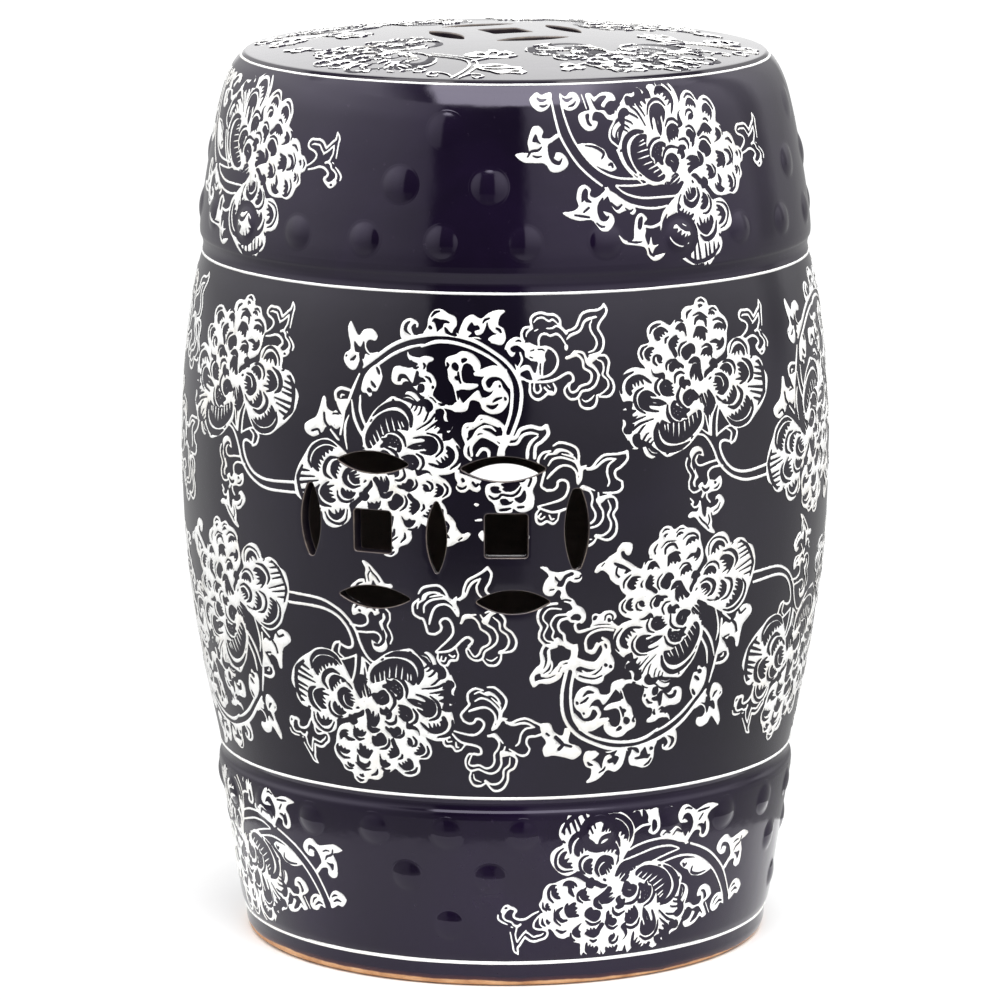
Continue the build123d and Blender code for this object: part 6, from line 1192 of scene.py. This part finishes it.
# ------------------------------------------------------------ slip drawing
class Sheet:
    """Flat drawing of the slip work, white on bare glaze; u right, v up, mm."""

    def __init__(self, u0, u1, v0, v1, res, period=None):
        self.u0, self.v0, self.res, self.period = u0, v0, res, period
        self.w, self.h = int(round((u1 - u0) * res)), int(round((v1 - v0) * res))
        self.bits = np.zeros((self.h, self.w), bool)

    def fill(self, poly, white=True):
        p = np.asarray(poly, float)
        for s in (0.0,) if self.period is None else (-self.period, 0.0, self.period):
            self._fill((p[:, 0] + s - self.u0) * self.res, (p[:, 1] - self.v0) * self.res, white)

    def _fill(self, x, y, white):
        x0, x1 = max(int(math.floor(x.min())), 0), min(int(math.ceil(x.max())) + 1, self.w)
        y0, y1 = max(int(math.floor(y.min())), 0), min(int(math.ceil(y.max())) + 1, self.h)
        if x1 <= x0 or y1 <= y0:
            return
        cross = np.zeros((y1 - y0, x1 - x0 + 1), np.int16)
        for a, b, c, d in zip(x, y, np.roll(x, -1), np.roll(y, -1)):
            if b == d:
                continue
            way = 1
            if b > d:
                a, b, c, d, way = c, d, a, b, -1
            r0, r1 = max(int(math.ceil(b - 0.5)), y0), min(int(math.ceil(d - 0.5)), y1)
            if r1 <= r0:
                continue
            rows = np.arange(r0, r1)
            cx = a + (rows + 0.5 - b) * (c - a) / (d - b)
            np.add.at(cross, (rows - y0, np.clip(np.ceil(cx - 0.5).astype(int) - x0, 0, x1 - x0)), way)
        inside = np.cumsum(cross, 1)[:, :-1] != 0
        win = self.bits[y0:y1, x0:x1]
        if white:
            win |= inside
        else:
            win &= ~inside

    def stroke(self, pts, width, white=True):
        """Brush stroke: width is a list spread along the stroke, mm."""
        p = curve(pts)
        w = np.interp(np.linspace(0, 1, len(p)), np.linspace(0, 1, len(width)), width)
        t = np.gradient(p, axis=0)
        t /= np.maximum(np.hypot(t[:, 0], t[:, 1])[:, None], 1e-9)
        n = np.stack([-t[:, 1], t[:, 0]], 1) * (w / 2)[:, None]
        left, right = p + n, p - n
        for k in range(0, len(p) - 1, 5):
            e = min(k + 5, len(p) - 1)
            self.fill(np.concatenate([left[k:e + 1], right[k:e + 1][::-1]]), white)
            self.dot(p[k], w[k] / 2, white)
        self.dot(p[-1], w[-1] / 2, white)

    def dot(self, c, r, white=True):
        if r > 0.02:
            a = np.linspace(0, 2 * math.pi, 14, endpoint=False)
            self.fill(np.stack([c[0] + r * np.cos(a), c[1] + r * np.sin(a)], 1), white)


def place(sheet, motif, at, turned=0.0, size=1.0, wide=1.0, flip=False, darker=1.42):
    """Draws a motif on a sheet: turned, sized, stretched sideways, moved."""
    c, s = math.cos(math.radians(turned)) * size, math.sin(math.radians(turned)) * size
    f = -1.0 if flip else 1.0
    m = np.array([[wide * c * f, -wide * s], [s * f, c]])
    for kind, pts, width in motif:
        p = np.asarray(pts, float)
        if kind in "WD":
            q = loop(p)
            if kind == "D":
                q = grown(tidy(q), 0.06 + 0.3 * (darker - 1.42))
            sheet.fill(q @ m.T + np.asarray(at), kind == "W")
        else:
            w = np.atleast_1d(np.asarray(width, float)) * size * (darker if kind == "d" else 1.0)
            sheet.stroke(p @ m.T + np.asarray(at), w if len(w) > 1 else np.repeat(w, 2), kind == "w")


def soften(bits, sigma):
    k = int(math.ceil(3 * sigma))
    g = np.exp(-0.5 * (np.arange(-k, k + 1) / sigma) ** 2)
    g /= g.sum()
    f = bits.astype(np.float32)
    for axis in (0, 1):
        pad = [(k, k) if a == axis else (0, 0) for a in (0, 1)]
        q = np.pad(f, pad, mode="edge")
        out = np.zeros_like(f)
        for i, w in enumerate(g):
            out += np.float32(w) * (q[i:i + f.shape[0]] if axis == 0 else q[:, i:i + f.shape[1]])
        f = out
    return f


SEGMENTS = {1: [(3, 0)], 2: [(0, 1)], 3: [(3, 1)], 4: [(1, 2)], 5: [(3, 0), (1, 2)], 6: [(0, 2)], 7: [(3, 2)], 8: [(2, 3)], 9: [(2, 0)], 10: [(0, 1), (2, 3)], 11: [(2, 1)], 12: [(1, 3)], 13: [(1, 0)], 14: [(0, 3)]}


def outlines(F, level):
    """Closed outlines of a field at a level, in cell units, border cells closed off."""
    G = np.pad(F, 1, constant_values=0.0)
    h, w = G.shape
    on = G >= level
    case = on[:-1, :-1] * 1 + on[:-1, 1:] * 2 + on[1:, 1:] * 4 + on[1:, :-1] * 8
    nxt, where = {}, {}
    for c, segs in SEGMENTS.items():
        ys, xs = np.nonzero(case == c)
        if not len(ys):
            continue
        ids, pos = [], []
        for e in range(4):
            if e in (0, 2):
                yy = ys + (1 if e == 2 else 0)
                a, b = G[yy, xs], G[yy, xs + 1]
                t = np.where(a != b, (level - a) / np.where(a != b, b - a, 1), 0.5)
                ids.append(yy * w + xs)
                pos.append(np.stack([xs + t, yy.astype(float)], 1))
            else:
                xx = xs + (1 if e == 1 else 0)
                a, b = G[ys, xx], G[ys + 1, xx]
                t = np.where(a != b, (level - a) / np.where(a != b, b - a, 1), 0.5)
                ids.append(h * w + ys * w + xx)
                pos.append(np.stack([xx.astype(float), ys + t], 1))
        for e0, e1 in segs:
            for i0, i1, p in zip(ids[e0].tolist(), ids[e1].tolist(), pos[e0].tolist()):
                nxt[i0] = i1
                where[i0] = p
    out = []
    while nxt:
        start, cur = next(iter(nxt.items()))
        pts = [where[start]]
        del nxt[start]
        while cur != start and cur in nxt:
            pts.append(where[cur])
            cur = nxt.pop(cur)
        if len(pts) > 5:
            out.append(np.array(pts) - 0.5)
    return out


def thinned(p, tol, longest):
    """Fewer points on a closed outline, within tol of it."""
    n = len(p)
    far = int(np.argmax(((p - p[0]) ** 2).sum(1)))
    if far == 0:
        return p
    q = np.concatenate([p, p[:1]])
    keep = {0, far}
    todo = [(0, far), (far, n)]
    while todo:
        a, b = todo.pop()
        if b - a < 2:
            continue
        d = q[b] - q[a]
        L = math.hypot(d[0], d[1])
        r = q[a + 1:b] - q[a]
        dev = np.abs(r[:, 0] * d[1] - r[:, 1] * d[0]) / L if L > 1e-9 else np.hypot(r[:, 0], r[:, 1])
        k = int(np.argmax(dev))
        if dev[k] > tol or L > longest:
            if dev[k] <= tol:
                k = (b - a) // 2 - 1
            k += a + 1
            keep.add(k % n)
            todo += [(a, k), (k, b)]
    return p[sorted(keep)]


EDGE, CREST = 0.53, 0.80


def slip_mesh(sheet, blocked, box, sides, lift):
    """Raised slip from a drawing: low edge just above the glaze, rounded shoulder, flat crest. Returns flat points,
    heights and triangles.
    """
    F = soften(sheet.bits & ~blocked if blocked is not None else sheet.bits, 0.21 * sheet.res)
    h, w = F.shape
    pts, edges = [], []
    for level in (EDGE, CREST):
        for o in outlines(F, level):
            o = thinned(o, 0.035 * sheet.res, 3.0 * sheet.res)
            if len(o) < 4:
                continue
            b = len(pts)
            pts += o.tolist()
            edges += [(b + i, b + (i + 1) % len(o)) for i in range(len(o))]
    g = int(2.6 * sheet.res)
    yy, xx = np.mgrid[g // 2:h - 1:g, g // 2:w - 1:g]
    solid = F[yy, xx] > 0.985
    near = np.stack([F[np.clip(yy + dy, 0, h - 1), np.clip(xx + dx, 0, w - 1)] for dy in (-3, 3) for dx in (-3, 3)]).min(0) > 0.97
    pick = solid & near
    pts += np.stack([xx[pick], yy[pick]], 1).astype(float).tolist()
    u_lo, u_hi, v_lo, v_hi = box
    if sides:
        for u in (u_lo, u_hi):
            b = len(pts)
            x = (u - sheet.u0) * sheet.res - 0.5
            pts += [[x, 1.0], [x, h - 2.0]]
            edges.append((b, b + 1))
    cv, _, cf, _, _, _ = delaunay_2d_cdt([Vector(p) for p in pts], edges, [], 0, 1e-5)
    cv = np.array([tuple(p) for p in cv])
    tri = np.array([f for f in cf if len(f) == 3])
    def sample(p):
        x, y = np.clip(p[:, 0], 0, w - 1.001), np.clip(p[:, 1], 0, h - 1.001)
        i, j = y.astype(int), x.astype(int)
        fy, fx = y - i, x - j
        return (F[i, j] * (1 - fx) + F[i, j + 1] * fx) * (1 - fy) + (F[i + 1, j] * (1 - fx) + F[i + 1, j + 1] * fx) * fy
    cen = cv[tri].mean(1)
    mids = [(cv[tri[:, a]] + cv[tri[:, b]]) / 2 for a, b in ((0, 1), (1, 2), (2, 0))]
    value = (sample(cen) + sum(sample(m) for m in mids)) / 4
    flat = (cv + 0.5) / sheet.res + np.array([sheet.u0, sheet.v0])
    fc = flat[tri].mean(1)
    a, b, c = flat[tri[:, 0]], flat[tri[:, 1]], flat[tri[:, 2]]
    area = 0.5 * ((b[:, 0] - a[:, 0]) * (c[:, 1] - a[:, 1]) - (b[:, 1] - a[:, 1]) * (c[:, 0] - a[:, 0]))
    ok = (value > EDGE + 0.004) & (fc[:, 0] > u_lo) & (fc[:, 0] < u_hi) & (fc[:, 1] > v_lo) & (fc[:, 1] < v_hi) & (np.abs(area) > 1e-5)
    tri, area = tri[ok], area[ok]
    tri[area < 0] = tri[area < 0][:, ::-1]
    used, inv = np.unique(tri, return_inverse=True)
    tri = inv.reshape(-1, 3)
    f = sample(cv[used])
    height = 0.012 + lift * np.clip((f - EDGE) / (CREST - EDGE), 0, 1)
    return flat[used], height, tri


RES = 1528 / QUARTER
MARGIN = 4.0


def square_uv(flat, box):
    u_lo, u_hi, v_lo, v_hi = box
    return np.stack([0.01 + 0.98 * (flat[:, 0] - u_lo) / (u_hi - u_lo), 0.01 + 0.98 * (flat[:, 1] - v_lo) / (v_hi - v_lo)], 1)


def cover(sheet, polys, grow):
    """Part of a sheet covered by the polygons, grown a little."""
    s = Sheet(sheet.u0, sheet.u0 + sheet.w / sheet.res, sheet.v0, sheet.v0 + sheet.h / sheet.res, sheet.res)
    for p in polys:
        s.fill(grown(p, grow))
    return s.bits


TILES = (-1, 0, 1, 2)


def round_sheet(v0, v1):
    """Sheet of one full turn, with a margin that repeats."""
    m = 24 / RES
    return Sheet(-1.5 * QUARTER - m, 2.5 * QUARTER + m, v0, v1, RES, 4 * QUARTER)


def tile_of(sheet, q):
    """Quarter of a full-turn sheet, with its margins."""
    a = (q + 1) * 1528
    t = Sheet((q - 0.5) * QUARTER - 24 / RES, (q + 0.5) * QUARTER + 24 / RES, sheet.v0, sheet.v0 + sheet.h / RES, RES)
    t.bits = sheet.bits[:, a:a + 1528 + 48]
    t.w = t.bits.shape[1]
    return t


def repeat(sheet, motifs, at, others=None, wide=1.0, darker=1.42):
    """Draws motifs in all four quarters; others holds quarters that differ by hand."""
    for q in TILES:
        u, v, turned, size = others[q] if others and q in others else (at[0] + q * QUARTER, at[1], at[2], at[3])
        for m in motifs:
            place(sheet, m, (u, v), turned, size, wide, darker=darker)


belly = round_sheet(98.0, 347.0)
upper_rings = {q: (-3.20 + q * QUARTER, 300.77, 0.0, 1.005) for q in TILES}
upper_rings[1] = (251.62, 303.77, 1.9, 0.990)
repeat(belly, [RING, RING_LEAF], None, upper_rings)
repeat(belly, [RING, RING_END, RING_LEAF], (105.96, 149.05, 189.7, 1.031), {-1: (-150.30, 142.29, 185.9, 1.009)})
# in front the upper ring ends among the openings
for q, (u, z, spin, size) in upper_rings.items():
    if q:
        place(belly, RING_END, (u, z), spin, size)
place(belly, UNDER, (0.0, 0.0))
repeat(belly, [CORNER], (0.0, 0.0, 0.0, 1.0))
repeat(belly, [JOIN, SCROLL, SPIRAL, BUDS], (62.58, 321.20, -0.2, 0.998))
repeat(belly, [SCROLL2], (67.55, 255.33, -29.2, 1.008))
repeat(belly, [SCROLL2], (9.86, 190.92, 0.0, 0.999))
repeat(belly, [SCROLL2], (25.71, 133.10, -56.2, 1.001))
repeat(belly, [SPRIG], (141.90, 295.02, -2.6, 0.991), {-1: (-124.15, 296.34, -1.8, 1.002)})
repeat(belly, [SPRIG], (-72.31, 165.27, 218.0, 1.013), {1: (184.00, 175.75, 223.5, 1.038)})
repeat(belly, [STEM, LEAF], (134.39, 299.83, -0.3, 1.009), {-1: (-123.14, 296.69, -2.2, 1.007)})
repeat(belly, [STEM, LEAF], (-38.75, 140.31, 173.9, 1.025), {1: (216.05, 150.40, 176.7, 0.999)})
repeat(belly, [PEONY], (134.03, 299.40, 0.1, 0.998), {-1: (-123.61, 296.06, -1.4, 1.003)}, darker=1.6)
repeat(belly, [PEONY], (-39.47, 142.03, 173.2, 1.016), {1: (217.55, 150.79, 177.2, 1.032)}, darker=1.65)
repeat(belly, [LEAF2, PEONY], (-31.28, 258.73, -160.6, 0.983), {1: (223.2, 261.5, -158.7, 0.983)})
repeat(belly, [LEAF2, PEONY], (127.02, 194.10, 29.6, 0.983), {-1: (-127.49, 185.66, 26.3, 0.990)}, darker=1.12)
for q in TILES:
    tile = tile_of(belly, q)
    box = ((q - 0.5) * QUARTER, (q + 0.5) * QUARTER, 99.2, 345.2)
    cut = {0: front_holes(), 2: back_holes()}.get(q)
    flat, height, tri = slip_mesh(tile, cover(tile, [h for h, _ in cut], 0.45) if cut else None, box, True, 0.34)
    v = turn(flat[:, 0] / R_REF, belly_r(flat[:, 1]) + height, flat[:, 1])
    make("belly_scroll_%d" % (q + 2), v, tri, [SCROLLWORK], None, uv=square_uv(flat, box), thin=1 - height / height.max())


def band(name, sheet, rad, v_lo, v_hi, upper):
    """Slip of a bossed band: it thins out on the flanks of the bosses."""
    for q in TILES:
        s = tile_of(sheet, q)
        cleared = np.zeros_like(s.bits)
        U, V = np.meshgrid(s.u0 + (np.arange(s.w) + 0.5) / RES, s.v0 + (np.arange(s.h) + 0.5) / RES)
        for dia, z0, kind in ROWS.values():
            if (z0 > 200) != upper:
                continue
            r0 = float(rad(z0))
            for deg in boss_angles(kind):
                # only the boss inside the flower shows bare glaze round it
                if round(deg) % 90 != (45 if upper else 30):
                    continue
                off = (U - math.radians(deg) * R_REF + 2 * QUARTER) % (4 * QUARTER) - 2 * QUARTER
                d = np.hypot(off * r0 / R_REF, V - z0)
                cleared |= (d > 0.76 * dia / 2) & (d < 1.36 * dia / 2)
        box = ((q - 0.5) * QUARTER, (q + 0.5) * QUARTER, v_lo, v_hi)
        flat, height, tri = slip_mesh(s, cleared, box, True, 0.34)
        bump = band_bumps(flat[:, 0], flat[:, 1], R_REF, upper)
        v = turn(flat[:, 0] / R_REF, rad(flat[:, 1]) + height + bump, flat[:, 1])
        make("%s_spray_%d" % (name, q + 2), v, tri, [SCROLLWORK], None, uv=square_uv(flat, box), thin=1 - height / height.max())


ring = round_sheet(353.0, 444.0)
repeat(ring, [SPRIG], (154.57, 382.80, 0.5, 0.970), {-1: (-105.65, 377.39, 1.0, 0.994)}, R_REF / 144.0)
repeat(ring, [SPRAY], (135.46, 398.29, -0.1, 0.999), {-1: (-127.15, 396.65, 0.1, 1.010)}, R_REF / 146.5)
repeat(ring, [PEONY], (135.10, 400.92, -75.4, 0.979), {-1: (-126.83, 399.31, -76.8, 0.965)}, R_REF / 146.5)
band("upper", ring, upper_r, 356.0, 441.8, True)
ring = round_sheet(11.0, 92.0)
repeat(ring, [SPRIG], (68.43, 67.82, 196.6, 1.004), {-1: (-187.0, 70.0, 196.0, 0.98)}, R_REF / 139.5)
repeat(ring, [SPRAY], (92.85, 51.78, 196.3, 1.018), {-1: (-165.25, 55.06, 195.3, 0.978)}, R_REF / 139.5)
repeat(ring, [PEONY], (95.52, 49.60, 122.5, 0.991), {-1: (-160.88, 52.48, 122.2, 0.949)}, R_REF / 139.5, 1.72)
band("lower", ring, lower_r, 15.5, 88.5, False)

# seat plate: four sprays round the coin, seen from above
plate = Sheet(-132.0, 132.0, -132.0, 132.0, 5.0)
# the shade sheet marks the petal hollows that get painted shade
shade_sheet = Sheet(-132.0, 132.0, -132.0, 132.0, 5.0)
def spread(p):
    x, y = np.asarray(p, float).T
    return abs(np.sum(x * np.roll(y, -1) - np.roll(x, -1) * y)) / 2


SHADED_HOLLOWS = [("W", p, None) if k == "D" else ("w", p, [2.7 * x for x in np.atleast_1d(w)]) for k, p, w in PEONY if k == "d" or (k == "D" and spread(p) < 42.0)]
FLOWERS = {0: (-45.1, -73.9, 85.6, 0.927), 1: (69.9, -52.0, 195.4, 1.02)}
for q in range(4):
    a = 90.0 * q
    c, s = math.cos(math.radians(a)), math.sin(math.radians(a))
    x, y, turned, size = FLOWERS.get(q, (c * -47.0 + s * 72.5, s * -47.0 - c * 72.5, 94.0 + a, 0.96))
    place(plate, PLATE, (0.0, 0.0), a)
    place(plate, PEONY, (x, y), turned, size, darker=2.7)
    place(shade_sheet, SHADED_HOLLOWS, (x, y), turned, size)
box = (-132.0, 132.0, -132.0, 132.0)
U, V = np.meshgrid(plate.u0 + (np.arange(plate.w) + 0.5) / plate.res, plate.v0 + (np.arange(plate.h) + 0.5) / plate.res)
kept = cover(plate, [h for h, _ in seat_holes()], 0.6) | (np.hypot(U, V) > 127.6)
flat, height, tri = slip_mesh(plate, kept, box, False, 0.6)
v = np.stack([flat[:, 0], flat[:, 1], crown_z(np.hypot(flat[:, 0], flat[:, 1])) + height], 1)
# painted shade: the low flanks of the strokes take the dark glaze, standing in for the shade beside the raised slip
painted_shade_flank = (height[tri].min(1) < 0.03).astype(int)
make("seat_sprays", v, tri, [SLIP, GLAZE], None, uv=square_uv(flat, box), mat_index=painted_shade_flank)
# painted shade: a sheet of unreflecting glaze lies in the hollows of the petals
flat, height, tri = slip_mesh(shade_sheet, kept | plate.bits, box, False, 0.05)
v = np.stack([flat[:, 0], flat[:, 1], crown_z(np.hypot(flat[:, 0], flat[:, 1])) + height], 1)
make("seat_hollow_shade", v, tri, [SHADE_GLAZE], None, uv=square_uv(flat, box))


# ------------------------------------------------------------ floor, light, camera
AZ = math.radians(11.5)
TO_CAM = Vector((math.sin(AZ), -math.cos(AZ), 0.0))
RIGHT = Vector((math.cos(AZ), math.sin(AZ), 0.0))

mat = bpy.data.materials.new("floor_pale")
nt, nd, ln = nodes_of(mat)
out = nd.new("ShaderNodeOutputMaterial")
bs = nd.new("ShaderNodeBsdfPrincipled")
ln.new(bs.outputs[0], out.inputs[0])
pos = nd.new("ShaderNodeTexCoord").outputs["Object"]
ln.new(ramp(nt, noise(nt, 3.0, 2.0, 0.5, pos).outputs["Fac"], [(0.3, (0.80, 0.80, 0.80)), (0.7, (0.82, 0.82, 0.82))]).outputs["Color"], bs.inputs["Base Color"])
bs.inputs["Roughness"].default_value = 0.9
bs.inputs["Specular IOR Level"].default_value = 0.0
me = bpy.data.meshes.new("floor")
n = 96
disc = [(0.26 * math.cos(2 * math.pi * k / n), 0.26 * math.sin(2 * math.pi * k / n), 0.0) for k in range(n)]
me.from_pydata(disc, [], [tuple(range(n))])
me.materials.append(mat)
floor = bpy.data.objects.new("floor", me)
floor.location.z = -0.0004
bpy.context.scene.collection.objects.link(floor)

world = bpy.data.worlds.new("studio")
bpy.context.scene.world = world
world.use_nodes = True
nt = world.node_tree
nt.nodes.clear()
nd, ln = nt.nodes, nt.links
out = nd.new("ShaderNodeOutputWorld")
mixer = nd.new("ShaderNodeMixShader")
seen, around = nd.new("ShaderNodeBackground"), nd.new("ShaderNodeBackground")
path = nd.new("ShaderNodeLightPath")
ln.new(path.outputs["Is Camera Ray"], mixer.inputs[0])
ln.new(around.outputs[0], mixer.inputs[1])
ln.new(seen.outputs[0], mixer.inputs[2])
ln.new(mixer.outputs[0], out.inputs[0])
seen.inputs["Color"].default_value = (1.0, 1.0, 1.0, 1.0)
seen.inputs["Strength"].default_value = 1.1
co = nd.new("ShaderNodeTexCoord").outputs["Generated"]
def dot(vec):
    n = nd.new("ShaderNodeVectorMath")
    n.operation = "DOT_PRODUCT"
    ln.new(co, n.inputs[0])
    n.inputs[1].default_value = vec
    return n.outputs["Value"]
ang = math_node(nt, "ARCTAN2", dot(tuple(RIGHT)), dot(tuple(TO_CAM)))
deg = math_node(nt, "MULTIPLY", ang, 180.0 / math.pi / 360.0)
turned = math_node(nt, "ADD", deg, 0.5)
def at(d): return 0.5 + d / 360.0
def grey(x): return (x / 8.0, x / 8.0, x / 8.0)
up = dot((0.0, 0.0, 1.0))
def between(lo, hi):
    """0 below an elevation, 1 above another, degrees."""
    n = nd.new("ShaderNodeMapRange")
    n.interpolation_type = "SMOOTHSTEP"
    n.inputs["From Min"].default_value = math.sin(math.radians(lo))
    n.inputs["From Max"].default_value = math.sin(math.radians(hi))
    ln.new(up, n.inputs["Value"])
    return n.outputs[0]
# soft light all round with a dark gap in front, a large softbox above it and a bright back wall
def lights(*stops, across=None):
    return ramp(nt, across or turned, [(at(d), grey(x)) for d, x in stops]).outputs["Color"]
# the softbox in front leans back, so its ends are measured across a leaning plane
lean = math_node(nt, "ARCTAN2", dot(tuple(RIGHT)), dot(tuple((TO_CAM + Vector((0, 0, 1))).normalized())))
leaned = math_node(nt, "ADD", math_node(nt, "MULTIPLY", lean, 180.0 / math.pi / 360.0), 0.5)
facing = ramp(nt, turned, [(at(-100), (0.0, 0.0, 0.0)), (at(-88), (1.0, 1.0, 1.0)), (at(88), (1.0, 1.0, 1.0)), (at(100), (0.0, 0.0, 0.0))]).outputs["Color"]
under = lights((-170, 0.42), (-140, 0.55), (-110, 0.62), (-50, 0.72), (50, 0.72), (110, 0.60), (140, 0.50), (170, 0.42))
below = lights((-172, 0.40), (-135, 0.70), (-110, 0.78), (-92, 0.82), (-60, 0.64), (-38, 0.52), (-28, 0.34), (-24, 0.16), (4, 0.14), (8, 0.44), (16, 0.56), (50, 0.62), (70, 0.84), (86, 0.90), (100, 0.74), (116, 0.60), (140, 0.52), (172, 0.40))
level = lights((-173, 1.36), (-164, 0.58), (-142, 0.68), (-127, 0.84), (-100, 1.12), (-78, 1.12), (-60, 0.90), (-47, 0.78), (-34, 0.58), (-30, 0.52), (-27, 0.04), (6.5, 0.02), (9.5, 0.64), (17, 0.76), (38, 0.86), (60, 0.92), (90, 0.98), (107, 0.90), (114, 0.58), (120, 0.54), (128, 0.86), (142, 0.62), (164, 0.46), (173, 1.36))
behind = lights((-150, 0.25), (-122, 0.25), (-112, 2.1), (112, 2.0), (122, 0.25), (150, 0.25))
box = lights((-60, 2.1), (-44, 2.1), (-38, 1.4), (-32, 0.7), (-27, 0.22), (-24.4, 0.22), (-23.2, 6.3), (24, 6.3), (30, 3.6), (38, 2.0), (47, 1.8), (53, 0.7), (59, 0.7), (66, 1.8), (80, 2.0), across=leaned)
above = mix_col(nt, facing, behind, box)
box = lights((-60, 1.8), (-40, 1.5), (-32, 0.7), (-27, 0.3), (-24.4, 0.3), (-23.2, 6.0), (24, 6.0), (30, 3.6), (38, 2.0), (53, 0.8), (66, 1.8), across=leaned)
top = mix_col(nt, facing, grey(2.6), box)
rise = nd.new("ShaderNodeMapRange")
rise.inputs["From Min"].default_value = 0.0
rise.inputs["From Max"].default_value = 0.5
rise.inputs["To Min"].default_value = 0.84
rise.inputs["To Max"].default_value = 1.85
ln.new(up, rise.inputs["Value"])
lift = nd.new("ShaderNodeVectorMath")
lift.operation = "SCALE"
ln.new(level, lift.inputs[0])
ln.new(rise.outputs[0], lift.inputs["Scale"])
sky = mix_col(nt, between(-26.0, -14.0), under, below)
sky = mix_col(nt, between(-6.0, 0.0), sky, lift.outputs[0])
sky = mix_col(nt, between(40.0, 42.5), sky, above)
sky = mix_col(nt, between(60.0, 66.0), sky, top)
sky = mix_col(nt, between(76.0, 80.0), sky, grey(0.4))
ln.new(sky, around.inputs["Color"])
around.inputs["Strength"].default_value = 8.0

cam = bpy.data.cameras.new("camera")
cam.sensor_width = 36.0
cam.lens = 219.81
cam.shift_x = -0.0053
cam.clip_end = 60.0
eye = bpy.data.objects.new("camera", cam)
eye.location = TO_CAM * 3.0233 + Vector((0, 0, 0.7984))
pitch = math.radians(10.878)
look = -TO_CAM * math.cos(pitch) + Vector((0, 0, -math.sin(pitch)))
eye.rotation_euler = look.to_track_quat("-Z", "Y").to_euler()
bpy.context.scene.collection.objects.link(eye)
bpy.context.scene.camera = eye
bpy.context.scene.view_settings.view_transform = "Standard"
bpy.context.scene.view_settings.look = "None"
